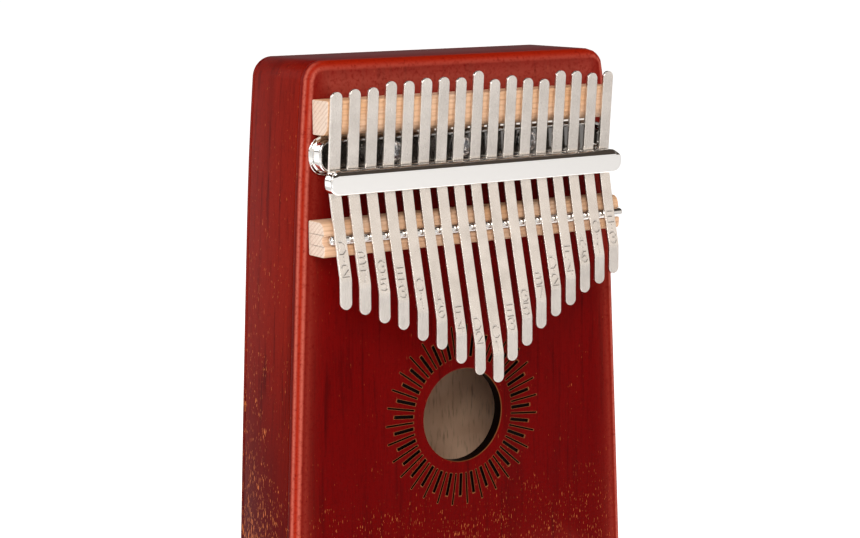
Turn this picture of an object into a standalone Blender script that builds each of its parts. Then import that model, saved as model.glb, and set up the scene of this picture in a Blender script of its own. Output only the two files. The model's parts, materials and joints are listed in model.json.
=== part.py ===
"""Seventeen-key box mbira (thumb piano): the design model.

Metres, +Z up along the body. The front faces -Y and +X is to the player's right when the front is seen.
The origin is the centre of the flat bottom end, at the middle of the body's depth.
"""

import math

import bmesh
import bpy
from mathutils import Matrix, Vector

# ---------------------------------------------------------------- driving dimensions

CLEARANCE = 0.0003          # air left between pieces that touch on the real object

# Hollow wooden body
BODY_HEIGHT = 0.185
BODY_WIDTH_BOTTOM = 0.134
SIDE_MARGIN = 0.00426       # wood outside the row of tines at the body's top, on either side
SIDE_BOW = 0.0003           # how far a side swells past a straight line at mid height
SHOULDER_LENGTH = 0.050     # the stretch below the top end over which the sides draw in further
SHOULDER_NARROWING = 0.0011 # how far each side draws in there
CORNER_RADIUS = 0.0068
SOUNDBOARD_THICKNESS = 0.004
FRAME_DEPTH = 0.0277
BACK_THICKNESS = 0.003
FRAME_WALL = 0.006
FRONT_EDGE_ROUND = 0.0033
BACK_EDGE_ROUND = 0.0022
LARGEST_EDGE_ROUND = 0.9    # share of a plate's thickness that its round-over may take

# Sound hole and the engraved rays round it
SOUND_HOLE_DIAMETER = 0.031
SOUND_HOLE_BELOW_TIP = 0.0149  # from the tip of the lowest note down to the hole's centre
SOUND_HOLE_OFFSET = -0.0006
RAY_PAIRS = 31
RAY_START_MARGIN = 0.0041   # from the rim of the hole to the inner end of every ray
WIDE_RAY_LENGTH = 0.0074
WIDE_RAY_WIDTH = 0.0010
NARROW_RAY_LENGTH = 0.0104
NARROW_RAY_WIDTH = 0.00045
RAY_DEPTH = 0.0008

# Wooden bridges, standing on the soundboard
BRIDGE_OFFSET = -0.0010     # the bridges are glued this far left of centre
FRONT_BRIDGE_OVERHANG = 0.00326  # past the row of tines, at either end
FRONT_BRIDGE_WIDTH = 0.0108
FRONT_BRIDGE_CREST = 0.0100
FRONT_BRIDGE_LOW_FALL = 0.0004   # how far the face falls from the crest to its lower edge
FRONT_BRIDGE_HIGH_FALL = 0.0014  # and to its upper edge
FRONT_BRIDGE_ROUNDS = (0.0, 0.0012, 0.0040, 0.0026, 0.0)
REAR_BRIDGE_FROM_TOP = 0.01155   # from the body's top end to the bridge's upper edge
REAR_BRIDGE_LEFT_OVERHANG = 0.00026    # how far it reaches past the leftmost tine
REAR_BRIDGE_RIGHT_OVERHANG = -0.00034  # it stops just short of the rightmost tine's edge
REAR_BRIDGE_WIDTH = 0.0108
REAR_BRIDGE_CREST = 0.0099
REAR_BRIDGE_LEAN = 0.0010        # how far its face leans back from the crest to its lower edge
REAR_BRIDGE_ROUNDS = (0.0, 0.0038, 0.0009, 0.0)

# Steel rod in the front bridge
ROD_DIAMETER = 0.0030
ROD_OVERHANG = 0.00276
ROD_BELOW_BAR = 0.01785     # from the middle of the pressure bar down to the rod's axis
ROD_UP_THE_BRIDGE = 0.0052  # from the bridge's lower edge to the rod's axis
ROD_PROUD = 0.00137         # how far the rod's round back stands above the bridge's crest

# Keys: seventeen spring-steel tines
KEY_OFFSET = -0.0020        # the row of tines, the bar and the tray sit this far left of centre
TINE_COUNT = 17
TINE_PITCH = 0.00653
TINE_WIDTH = 0.0040
TINE_THICKNESS = 0.0009
LOWEST_TINE_REACH = 0.0486  # from the rod to the tip of the lowest note
REACH_POWER = 0.568         # the reach falls with the frequency to this power
TINE_RISE = 0.24            # how far a tine climbs from the board for each metre past the rod
TIP_LENGTH = 0.0094         # the last stretch, bent back parallel to the board
TIP_BEND_RADIUS = 0.008
BAR_BEND_RADIUS = 0.025
ROD_BEND_RADIUS = 0.040
# How far each tail stands past the rear bridge once its note is tuned, left to right
TAIL_OVERHANGS = (
    0.0028, 0.0034, 0.0036, 0.0052, 0.0050, 0.0056, 0.0056, 0.0052, 0.0070,
    0.0041, 0.0050, 0.0039, 0.0033, 0.0057, 0.0053, 0.0044, 0.0047,
)

# Pressure bar across the tines
BAR_OVERHANG = 0.00201
BAR_WIDTH = 0.0075
BAR_THICKNESS = 0.0042
BAR_UNDERSIDE = 0.0095      # from the soundboard to the bar's underside
BAR_CORNER_RADIUS = 0.0032
BAR_EDGE_ROUND = 0.0016

# Chromed tray under the tines
TRAY_OVERHANG = 0.00201
TRAY_WIDTH = 0.0123
TRAY_TO_REAR_BRIDGE = 0.00035
TRAY_CORNER_RADIUS = 0.0050
TRAY_FLOOR = 0.0010
TRAY_WALL_HEIGHT = 0.0052
TRAY_WALL = 0.0012
TRAY_FLANGE = 0.0010        # the floor's lip outside the wall

# Wooden brace glued behind the soundboard, which takes the screws
BRACE_BELOW_BAR = 0.00615   # from the middle of the pressure bar down to the brace's lower edge
BRACE_WIDTH = 0.028
BRACE_THICKNESS = 0.0050
BRACE_SIDE_GAP = 0.0053     # to the side wall, at the brace's upper edge
BRACE_CORNER_RADIUS = 0.002

# Three wood screws hold the tray
TRAY_SCREW_SPACING = 4      # in tine pitches
TRAY_SCREW_SHANK = 0.0030
TRAY_SCREW_HEAD = 0.0072
TRAY_SCREW_HEAD_HEIGHT = 0.0020
TRAY_SCREW_LENGTH = 0.0085

# Four machine screws reach from inside the box, between the tines, into the bar
BAR_SCREW_PLACES = (-6.5, -2.5, 2.5, 6.5)  # in tine pitches from the middle tine
BAR_SCREW_TO_TRAY = 0.0004  # from the shank to the tray's edge
BAR_SCREW_HEAD = 0.0040
BAR_SCREW_HEAD_HEIGHT = 0.0015
BAR_SCREW_GRIP = 0.0026     # how far each one reaches into the bar

RECESS_WIDTH = 0.00075      # of the cross slot in a screw's head
RECESS_DEPTH = 0.0011

MAJOR_SCALE = (0, 2, 4, 5, 7, 9, 11)
NOTE_LETTERS = "cdefgab"
LOWEST_OCTAVE = 4

# ---------------------------------------------------------------- derived places

BODY_DEPTH = SOUNDBOARD_THICKNESS + FRAME_DEPTH + BACK_THICKNESS + 2 * CLEARANCE
BOARD_FRONT = -BODY_DEPTH / 2
BOARD_BACK = BOARD_FRONT + SOUNDBOARD_THICKNESS
FRAME_FRONT = BOARD_BACK + CLEARANCE
BACK_FRONT = FRAME_FRONT + FRAME_DEPTH + CLEARANCE

ROW_WIDTH = (TINE_COUNT - 1) * TINE_PITCH + TINE_WIDTH
BODY_WIDTH_TOP = ROW_WIDTH + 2 * SIDE_MARGIN
FRONT_BRIDGE_LENGTH = ROW_WIDTH + 2 * FRONT_BRIDGE_OVERHANG
REAR_BRIDGE_LENGTH = ROW_WIDTH + REAR_BRIDGE_LEFT_OVERHANG + REAR_BRIDGE_RIGHT_OVERHANG
REAR_BRIDGE_OFFSET = KEY_OFFSET + (REAR_BRIDGE_RIGHT_OVERHANG - REAR_BRIDGE_LEFT_OVERHANG) / 2
ROD_LENGTH = ROW_WIDTH + 2 * ROD_OVERHANG
BAR_LENGTH = ROW_WIDTH + 2 * BAR_OVERHANG
TRAY_LENGTH = ROW_WIDTH + 2 * TRAY_OVERHANG
BAR_SCREW_SHANK = TINE_PITCH - TINE_WIDTH - 2 * CLEARANCE

REAR_CREST_HEIGHT = BODY_HEIGHT - REAR_BRIDGE_FROM_TOP
REAR_BRIDGE_FOOT = REAR_CREST_HEIGHT - REAR_BRIDGE_WIDTH
TRAY_FOOT = REAR_BRIDGE_FOOT - TRAY_TO_REAR_BRIDGE - TRAY_WIDTH
TRAY_MIDDLE = TRAY_FOOT + TRAY_WIDTH / 2
BAR_MIDDLE = TRAY_FOOT - BAR_SCREW_TO_TRAY - BAR_SCREW_SHANK / 2
ROD_HEIGHT = BAR_MIDDLE - ROD_BELOW_BAR
ROD_AXIS = FRONT_BRIDGE_CREST + ROD_PROUD - ROD_DIAMETER / 2
FRONT_BRIDGE_FOOT = ROD_HEIGHT - ROD_UP_THE_BRIDGE
SOUND_HOLE_HEIGHT = ROD_HEIGHT - LOWEST_TINE_REACH - SOUND_HOLE_BELOW_TIP
BRACE_FOOT = BAR_MIDDLE - BRACE_BELOW_BAR
BRACE_BACK = FRAME_FRONT + BRACE_THICKNESS


def in_front(height):
    """World Y of a point that stands this high above the soundboard's face."""
    return BOARD_FRONT - height


# ---------------------------------------------------------------- materials

def make_material(name, colour, roughness, metallic=0.0):
    """A plain Principled material."""
    material = bpy.data.materials.new(name)
    material.use_nodes = True
    shader = material.node_tree.nodes["Principled BSDF"]
    shader.inputs["Base Color"].default_value = (*colour, 1.0)
    shader.inputs["Roughness"].default_value = roughness
    shader.inputs["Metallic"].default_value = metallic
    material.diffuse_color = (*colour, 1.0)
    return material


# ---------------------------------------------------------------- outlines

def arc(centre, radius, start, end, steps):
    """Points on an arc from one angle to another, both ends included."""
    points = []
    for step in range(steps + 1):
        angle = start + (end - start) * step / steps
        points.append((centre[0] + radius * math.cos(angle), centre[1] + radius * math.sin(angle)))
    return points


def side_half_width(height):
    """Half the body's width at a height: a straight taper that swells a little at mid height.

    Towards the top end each side draws in along a parabola.
    """
    along = height / BODY_HEIGHT
    taper = (BODY_WIDTH_TOP - BODY_WIDTH_BOTTOM) / 2
    swell = SIDE_BOW * 4 * along * (1 - along)
    up_shoulder = max(0.0, height - BODY_HEIGHT + SHOULDER_LENGTH) / SHOULDER_LENGTH
    return BODY_WIDTH_BOTTOM / 2 + taper * along + swell - SHOULDER_NARROWING * up_shoulder ** 2


def side_lean(height):
    """The angle by which a side leans inwards at a height."""
    step = BODY_HEIGHT / 1000
    change = side_half_width(height - step) - side_half_width(height + step)
    return math.atan(change / (2 * step))


def body_outline(inset=0.0, corner_steps=6, side_steps=8):
    """The body's outline in X and Z, moved inwards by an inset, counter-clockwise."""
    radius = max(CORNER_RADIUS - inset, CORNER_RADIUS / 4)
    low = inset + radius
    high = BODY_HEIGHT - inset - radius
    low_lean, high_lean = side_lean(low), side_lean(high)
    low_centre = (side_half_width(low) - (inset + radius) / math.cos(low_lean), low)
    high_centre = (side_half_width(high) - (inset + radius) / math.cos(high_lean), high)
    right = arc(low_centre, radius, -math.pi / 2, low_lean, corner_steps)
    for step in range(1, side_steps):
        height = low + (high - low) * step / side_steps
        right.append((side_half_width(height) - inset / math.cos(side_lean(height)), height))
    right += arc(high_centre, radius, high_lean, math.pi / 2, corner_steps)
    left = [(-x, z) for x, z in reversed(right)]
    return right + left


def fillet_path(corners, radii, steps, closed=True):
    """A path through corners, each rounded by its own radius; a radius of 0 keeps it sharp."""
    count = len(corners)
    points = []
    for index, (corner, radius) in enumerate(zip(corners, radii)):
        at_end = not closed and index in (0, count - 1)
        if radius == 0 or at_end:
            points.append(tuple(corner))
            continue
        here = Vector(corner)
        back = (Vector(corners[index - 1]) - here).normalized()
        ahead = (Vector(corners[(index + 1) % count]) - here).normalized()
        half = back.angle(ahead) / 2
        reach = radius / math.tan(half)
        centre = here + (back + ahead).normalized() * (radius / math.sin(half))
        first = here + back * reach - centre
        turn = (math.pi - 2 * half) * (1 if back.cross(ahead) < 0 else -1)
        for step in range(steps + 1):
            spoke = Matrix.Rotation(turn * step / steps, 2) @ first
            points.append(tuple(centre + spoke))
    return points


def rounded_rectangle(width, height, radius, centre=(0.0, 0.0), steps=6):
    """A rectangle with round corners, counter-clockwise."""
    left, right = centre[0] - width / 2, centre[0] + width / 2
    low, high = centre[1] - height / 2, centre[1] + height / 2
    corners = [(left, low), (right, low), (right, high), (left, high)]
    return fillet_path(corners, [radius] * 4, steps)


# ---------------------------------------------------------------- solids

def link(name, mesh, collection, material=None):
    """Put a mesh in the scene as an object."""
    body = bpy.data.objects.new(name, mesh)
    collection.objects.link(body)
    if material is not None:
        mesh.materials.append(material)
    return body


def shade_round(mesh, angle=math.radians(35)):
    """Smooth shading with creases kept."""
    mesh.shade_smooth()
    mesh.set_sharp_from_angle(angle=angle)


def extruded_mesh(name, loops, depth):
    """A flat outline, with holes where loops lie inside it, given an even depth along its own Z."""
    curve = bpy.data.curves.new(name, "CURVE")
    curve.dimensions = "2D"
    curve.fill_mode = "BOTH"
    curve.extrude = depth / 2
    for loop in loops:
        spline = curve.splines.new("POLY")
        spline.points.add(len(loop) - 1)
        for point, (u, v) in zip(spline.points, loop):
            point.co = (u, v, 0.0, 1.0)
        spline.use_cyclic_u = True
    carrier = bpy.data.objects.new(name, curve)
    bpy.context.scene.collection.objects.link(carrier)
    graph = bpy.context.evaluated_depsgraph_get()
    mesh = bpy.data.meshes.new_from_object(carrier.evaluated_get(graph))
    bpy.data.objects.remove(carrier)
    bpy.data.curves.remove(curve)
    shape = bmesh.new()
    shape.from_mesh(mesh)
    bmesh.ops.remove_doubles(shape, verts=shape.verts, dist=1e-6)
    if len(loops) == 1:
        bmesh.ops.dissolve_limit(shape, angle_limit=math.radians(0.5), verts=shape.verts, edges=shape.edges)
    bmesh.ops.recalc_face_normals(shape, faces=shape.faces)
    shape.to_mesh(mesh)
    shape.free()
    mesh.name = name
    return mesh


def upright(mesh, front):
    """Stand a flat outline up, so that its Y runs up the body, with its front face at a world Y."""
    nearest = min(vertex.co.z for vertex in mesh.vertices)
    farthest = max(vertex.co.z for vertex in mesh.vertices)
    turn = Matrix.Rotation(math.pi / 2, 4, "X")
    mesh.transform(Matrix.Translation((0.0, front + (farthest - nearest) / 2, 0.0)) @ turn)


def lay_along_x(mesh, centre_x, height):
    """Turn a profile drawn as (out from the board, up) so that its depth runs along X."""
    turn = Matrix(((0, 0, -1, centre_x), (-1, 0, 0, BOARD_FRONT), (0, 1, 0, height), (0, 0, 0, 1)))
    mesh.transform(turn)


def weight_edges(mesh, chosen):
    """Mark for Bevel the edges whose two ends both pass a test."""
    weights = mesh.attributes.new("bevel_weight_edge", "FLOAT", "EDGE")
    for edge in mesh.edges:
        ends = [mesh.vertices[index].co for index in edge.vertices]
        weights.data[edge.index].value = 1.0 if all(chosen(end) for end in ends) else 0.0


def add_bevel(body, width, segments, by_weight=False, angle=math.radians(40)):
    """Round the edges of a body."""
    bevel = body.modifiers.new("edge_round", "BEVEL")
    bevel.width = width
    bevel.segments = segments
    bevel.limit_method = "WEIGHT" if by_weight else "ANGLE"
    bevel.angle_limit = angle
    bevel.use_clamp_overlap = True
    return bevel


def cut(body, cutter, operation="DIFFERENCE"):
    """Boolean a body with a cutter."""
    boolean = body.modifiers.new(cutter.name, "BOOLEAN")
    boolean.operation = operation
    boolean.solver = "EXACT"
    boolean.object = cutter
    return boolean


def hide_cutter(cutter):
    """Keep a cutter out of the model."""
    cutter.hide_render = True
    cutter.display_type = "WIRE"
    return cutter


def cylinder_between(shape, start, end, diameter, segments):
    """Add a closed cylinder between two points to a bmesh."""
    start, end = Vector(start), Vector(end)
    along = end - start
    place = Matrix.Translation((start + end) / 2) @ along.to_track_quat("Z", "Y").to_matrix().to_4x4()
    bmesh.ops.create_cone(
        shape, cap_ends=True, segments=segments, radius1=diameter / 2, radius2=diameter / 2,
        depth=along.length, matrix=place)


def cylinders_mesh(name, runs, diameter, segments=20):
    """One mesh that holds a cylinder for each (start, end)."""
    shape = bmesh.new()
    for start, end in runs:
        cylinder_between(shape, start, end, diameter, segments)
    mesh = bpy.data.meshes.new(name)
    shape.to_mesh(mesh)
    shape.free()
    return mesh


# ---------------------------------------------------------------- body of the instrument

def ray_cutter(collection):
    """Sixty-two thin blocks round the sound hole, wide and narrow in turn, which engrave the rays."""
    shape = bmesh.new()
    start = SOUND_HOLE_DIAMETER / 2 + RAY_START_MARGIN
    for index in range(2 * RAY_PAIRS):
        wide = index % 2 == 0
        length = WIDE_RAY_LENGTH if wide else NARROW_RAY_LENGTH
        width = WIDE_RAY_WIDTH if wide else NARROW_RAY_WIDTH
        size = Matrix.Diagonal((length, 2 * RAY_DEPTH, width, 1.0))
        out = Matrix.Translation((start + length / 2, 0.0, 0.0))
        turn = Matrix.Rotation(-math.pi * index / RAY_PAIRS, 4, "Y")
        place = Matrix.Translation((SOUND_HOLE_OFFSET, BOARD_FRONT, SOUND_HOLE_HEIGHT))
        bmesh.ops.create_cube(shape, size=1.0, matrix=place @ turn @ out @ size)
    mesh = bpy.data.meshes.new("ray_cutter")
    shape.to_mesh(mesh)
    shape.free()
    return hide_cutter(link("ray_cutter", mesh, collection))


def hole_cutter(collection):
    """The round cutter of the sound hole."""
    ends = [(SOUND_HOLE_OFFSET, BOARD_FRONT - SOUNDBOARD_THICKNESS, SOUND_HOLE_HEIGHT),
            (SOUND_HOLE_OFFSET, BOARD_BACK + SOUNDBOARD_THICKNESS, SOUND_HOLE_HEIGHT)]
    mesh = cylinders_mesh("sound_hole_cutter", [ends], SOUND_HOLE_DIAMETER, 64)
    return hide_cutter(link("sound_hole_cutter", mesh, collection))


def plate_round(wanted, thickness):
    """Radius of a plate's round-over, no larger than the plate allows."""
    return min(wanted, LARGEST_EDGE_ROUND * thickness)


def make_soundboard(collection, material, cutters):
    """Front plate: its outer edge is rounded over in front."""
    mesh = extruded_mesh("soundboard", [body_outline()], SOUNDBOARD_THICKNESS)
    upright(mesh, BOARD_FRONT)
    weight_edges(mesh, lambda point: point.y < BOARD_FRONT + SOUNDBOARD_THICKNESS / 2)
    board = link("soundboard", mesh, collection, material)
    add_bevel(board, plate_round(FRONT_EDGE_ROUND, SOUNDBOARD_THICKNESS), 4, by_weight=True)
    for cutter in cutters:
        cut(board, cutter)
    return board


def make_frame(collection, material):
    """Side walls of the box, one ring."""
    loops = [body_outline(), body_outline(FRAME_WALL)]
    mesh = extruded_mesh("body_frame", loops, FRAME_DEPTH)
    upright(mesh, FRAME_FRONT)
    return link("body_frame", mesh, collection, material)


def make_back(collection, material):
    """Back plate: its outer edge is rounded over behind."""
    mesh = extruded_mesh("back_plate", [body_outline()], BACK_THICKNESS)
    upright(mesh, BACK_FRONT)
    weight_edges(mesh, lambda point: point.y > BACK_FRONT + BACK_THICKNESS / 2)
    plate = link("back_plate", mesh, collection, material)
    add_bevel(plate, plate_round(BACK_EDGE_ROUND, BACK_THICKNESS), 3, by_weight=True)
    return plate


def make_brace(collection, material, cutters):
    """Block glued behind the soundboard under the bridges."""
    half = side_half_width(BRACE_FOOT + BRACE_WIDTH) - FRAME_WALL - BRACE_SIDE_GAP
    middle = (0.0, BRACE_FOOT + BRACE_WIDTH / 2)
    outline = rounded_rectangle(2 * half, BRACE_WIDTH, BRACE_CORNER_RADIUS, middle, steps=3)
    mesh = extruded_mesh("inner_brace", [outline], BRACE_THICKNESS)
    upright(mesh, FRAME_FRONT)
    brace = link("inner_brace", mesh, collection, material)
    for cutter in cutters:
        cut(brace, cutter)
    return brace


# ---------------------------------------------------------------- bridges and rod

def make_rear_bridge(collection, material):
    """Bridge under the tails: its face leans up to a crest at the upper edge."""
    corners = [
        (CLEARANCE, 0.0),
        (REAR_BRIDGE_CREST - REAR_BRIDGE_LEAN, 0.0),
        (REAR_BRIDGE_CREST, REAR_BRIDGE_WIDTH),
        (CLEARANCE, REAR_BRIDGE_WIDTH),
    ]
    profile = fillet_path(corners, REAR_BRIDGE_ROUNDS, 5)
    mesh = extruded_mesh("rear_bridge", [profile], REAR_BRIDGE_LENGTH)
    lay_along_x(mesh, REAR_BRIDGE_OFFSET, REAR_BRIDGE_FOOT)
    shade_round(mesh)
    return link("rear_bridge", mesh, collection, material)


def make_front_bridge(collection, material, cutters):
    """Bridge that carries the rod: a rounded face with a groove along it."""
    corners = [
        (CLEARANCE, 0.0),
        (FRONT_BRIDGE_CREST - FRONT_BRIDGE_LOW_FALL, 0.0),
        (FRONT_BRIDGE_CREST, ROD_UP_THE_BRIDGE),
        (FRONT_BRIDGE_CREST - FRONT_BRIDGE_HIGH_FALL, FRONT_BRIDGE_WIDTH),
        (CLEARANCE, FRONT_BRIDGE_WIDTH),
    ]
    profile = fillet_path(corners, FRONT_BRIDGE_ROUNDS, 4)
    mesh = extruded_mesh("front_bridge", [profile], FRONT_BRIDGE_LENGTH)
    lay_along_x(mesh, BRIDGE_OFFSET, FRONT_BRIDGE_FOOT)
    shade_round(mesh)
    bridge = link("front_bridge", mesh, collection, material)
    for cutter in cutters:
        cut(bridge, cutter)
    return bridge


def rod_ends(length):
    """The two ends of a run along the rod's axis."""
    return [(-length / 2, in_front(ROD_AXIS), ROD_HEIGHT), (length / 2, in_front(ROD_AXIS), ROD_HEIGHT)]


def make_rod(collection, material):
    """Steel rod with rounded ends, on which the tines bear."""
    mesh = cylinders_mesh("bridge_rod", [rod_ends(ROD_LENGTH)], ROD_DIAMETER, 24)
    shade_round(mesh)
    rod = link("bridge_rod", mesh, collection, material)
    add_bevel(rod, ROD_DIAMETER * 0.3, 3, angle=math.radians(60))
    return rod


def groove_cutter(collection):
    """Cutter of the groove that holds the rod."""
    mesh = cylinders_mesh(
        "groove_cutter", [rod_ends(FRONT_BRIDGE_LENGTH * 1.2)], ROD_DIAMETER + 2 * CLEARANCE, 24)
    return hide_cutter(link("groove_cutter", mesh, collection))


# ---------------------------------------------------------------- tray, bar and screws

def make_tray(collection, material, cutters):
    """Chromed tray: a floor with a lip and one low wall all the way round."""
    centre = (KEY_OFFSET, TRAY_MIDDLE)
    outline = rounded_rectangle(TRAY_LENGTH, TRAY_WIDTH, TRAY_CORNER_RADIUS, centre)
    floor_mesh = extruded_mesh("tray", [outline], TRAY_FLOOR)
    upright(floor_mesh, in_front(CLEARANCE + TRAY_FLOOR))
    tray = link("tray", floor_mesh, collection, material)
    outer_inset, inner_inset = TRAY_FLANGE, TRAY_FLANGE + TRAY_WALL
    walls = []
    for inset in (outer_inset, inner_inset):
        walls.append(rounded_rectangle(
            TRAY_LENGTH - 2 * inset, TRAY_WIDTH - 2 * inset, TRAY_CORNER_RADIUS - inset, centre))
    overlap = TRAY_FLOOR / 2
    wall_mesh = extruded_mesh("tray_wall", walls, TRAY_WALL_HEIGHT - overlap)
    upright(wall_mesh, in_front(CLEARANCE + TRAY_WALL_HEIGHT))
    wall = hide_cutter(link("tray_wall", wall_mesh, cutters[0].users_collection[0]))
    cut(tray, wall, "UNION")
    for cutter in cutters:
        cut(tray, cutter)
    return tray


def make_bar(collection, material, cutters):
    """Chromed bar that presses the tines down, with blind holes in its underside."""
    outline = rounded_rectangle(BAR_LENGTH, BAR_WIDTH, BAR_CORNER_RADIUS, (KEY_OFFSET, BAR_MIDDLE))
    mesh = extruded_mesh("pressure_bar", [outline], BAR_THICKNESS)
    upright(mesh, in_front(BAR_UNDERSIDE + BAR_THICKNESS))
    bar = link("pressure_bar", mesh, collection, material)
    add_bevel(bar, BAR_EDGE_ROUND, 3, angle=math.radians(60))
    for cutter in cutters:
        cut(bar, cutter)
    return bar


def tray_screw_places():
    """X of the three tray screws."""
    return [KEY_OFFSET + step * TRAY_SCREW_SPACING * TINE_PITCH for step in (-1, 0, 1)]


def bar_screw_places():
    """X of the four bar screws, each midway between two tines."""
    return [KEY_OFFSET + place * TINE_PITCH for place in BAR_SCREW_PLACES]


def screw_hole_cutters(collection):
    """Clearance holes of both kinds of screw, through everything that they pass."""
    seat = CLEARANCE + TRAY_FLOOR
    deep = BOARD_FRONT + TRAY_SCREW_LENGTH - seat + CLEARANCE
    runs = [[(x, in_front(2 * seat), TRAY_MIDDLE), (x, deep, TRAY_MIDDLE)] for x in tray_screw_places()]
    tray_mesh = cylinders_mesh("tray_screw_holes", runs, TRAY_SCREW_SHANK + 2 * CLEARANCE)
    top = in_front(BAR_UNDERSIDE + BAR_SCREW_GRIP + CLEARANCE)
    runs = [[(x, top, BAR_MIDDLE), (x, BRACE_BACK + CLEARANCE, BAR_MIDDLE)] for x in bar_screw_places()]
    bar_mesh = cylinders_mesh("bar_screw_holes", runs, BAR_SCREW_SHANK + 2 * CLEARANCE, 14)
    return [hide_cutter(link(mesh.name, mesh, collection)) for mesh in (tray_mesh, bar_mesh)]


def screw_mesh(name, shank, length, head, head_height, steps):
    """A pan-head screw turned about its own Z, the head's underside at 0 and the tip below."""
    profile = [
        (0.0, -length),
        (shank * 0.25, -length),
        (shank * 0.5, -length + shank * 0.5),
        (shank * 0.5, 0.0),
        (head * 0.5, 0.0),
        (head * 0.5, head_height * 0.35),
        (head * 0.42, head_height * 0.8),
        (head * 0.25, head_height),
        (0.0, head_height),
    ]
    outline = bpy.data.meshes.new(name + "_profile")
    outline.from_pydata([(r, 0.0, z) for r, z in reversed(profile)], [
        (index, index + 1) for index in range(len(profile) - 1)], [])
    carrier = bpy.data.objects.new(name + "_profile", outline)
    bpy.context.scene.collection.objects.link(carrier)
    turn = carrier.modifiers.new("turn", "SCREW")
    turn.axis = "Z"
    turn.steps = steps
    turn.render_steps = steps
    turn.use_merge_vertices = True
    turn.merge_threshold = 1e-6
    graph = bpy.context.evaluated_depsgraph_get()
    mesh = bpy.data.meshes.new_from_object(carrier.evaluated_get(graph))
    bpy.data.objects.remove(carrier)
    shape = bmesh.new()
    shape.from_mesh(mesh)
    bmesh.ops.remove_doubles(shape, verts=shape.verts, dist=1e-6)
    bmesh.ops.recalc_face_normals(shape, faces=shape.faces)
    shape.to_mesh(mesh)
    shape.free()
    mesh.name = name
    shade_round(mesh)
    return mesh


def recess_mesh(name, head, head_height):
    """A cross of two blocks, sunk in the top of a screw's head."""
    reach = head * 0.55
    shape = bmesh.new()
    for size in ((reach, RECESS_WIDTH), (RECESS_WIDTH * 0.99, reach)):
        place = Matrix.Translation((0.0, 0.0, head_height))
        block = Matrix.Diagonal((size[0], size[1], 2 * RECESS_DEPTH, 1.0))
        bmesh.ops.create_cube(shape, size=1.0, matrix=place @ block)
    mesh = bpy.data.meshes.new(name)
    shape.to_mesh(mesh)
    shape.free()
    return mesh


def place_screws(prefix, xs, seat, facing, height, sizes, collection, cutter_collection, material):
    """Copies of one screw in a row; facing is the world Y direction in which the heads look."""
    shank, length, head, head_height, steps = sizes
    mesh = screw_mesh(prefix, shank, length, head, head_height, steps)
    recess = recess_mesh(prefix + "_recess", head, head_height)
    for index, x in enumerate(xs, start=1):
        turn = Matrix.Rotation(math.pi / 2 if facing < 0 else -math.pi / 2, 4, "X")
        spin = Matrix.Rotation(math.radians(28 * index), 4, "Z")
        place = Matrix.Translation((x, seat, height)) @ turn @ spin
        screw = link(f"{prefix}_{index}", mesh.copy(), collection, material)
        screw.matrix_world = place
        cross = hide_cutter(link(f"{prefix}_recess_{index}", recess, cutter_collection))
        cross.matrix_world = place
        slot = cut(screw, cross)
        slot.use_self = True


# ---------------------------------------------------------------- tines

def tine_note(rank):
    """Name and semitones above the lowest note, for the nth note of the scale."""
    octave, degree = divmod(rank, len(MAJOR_SCALE))
    name = f"{NOTE_LETTERS[degree]}{LOWEST_OCTAVE + octave}"
    return name, 12 * octave + MAJOR_SCALE[degree]


def tine_slot(rank):
    """Place in the row: the lowest note is in the middle and the others go left and right in turn."""
    return -(rank + 1) // 2 if rank % 2 else rank // 2


def tine_reach(semitones):
    """Length from the rod to the tip."""
    return LOWEST_TINE_REACH * 2 ** (-REACH_POWER * semitones / 12)


def tine_centreline(reach, tail_end):
    """Side view of a tine's middle as (out from the board, height), from the tail to the tip."""
    half = TINE_THICKNESS / 2
    crest = (REAR_BRIDGE_CREST + CLEARANCE + half, REAR_CREST_HEIGHT)
    under_bar = (BAR_UNDERSIDE - 2 * CLEARANCE - half, BAR_MIDDLE)
    on_rod = (ROD_AXIS + ROD_DIAMETER / 2 + CLEARANCE + half, ROD_HEIGHT)
    rear_rise = (crest[0] - under_bar[0]) / (crest[1] - under_bar[1])
    tip_height = ROD_HEIGHT - reach
    bend_height = tip_height + TIP_LENGTH
    bend_out = on_rod[0] + TINE_RISE * (ROD_HEIGHT - bend_height)
    corners = [
        (crest[0] + rear_rise * (tail_end - crest[1]), tail_end),
        under_bar,
        on_rod,
        (bend_out, bend_height),
        (bend_out, tip_height),
    ]
    radii = [0.0, BAR_BEND_RADIUS, ROD_BEND_RADIUS, TIP_BEND_RADIUS, 0.0]
    return fillet_path(corners, radii, 4, closed=False)


def thicken(path, thickness):
    """Closed outline of a strip of even thickness along an open path."""
    front, back = [], []
    for index, point in enumerate(path):
        before = Vector(path[max(index - 1, 0)])
        after = Vector(path[min(index + 1, len(path) - 1)])
        along = (after - before).normalized()
        across = Vector((-along.y, along.x)) * (thickness / 2)
        front.append(tuple(Vector(point) + across))
        back.append(tuple(Vector(point) - across))
    return front + back[::-1]


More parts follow.
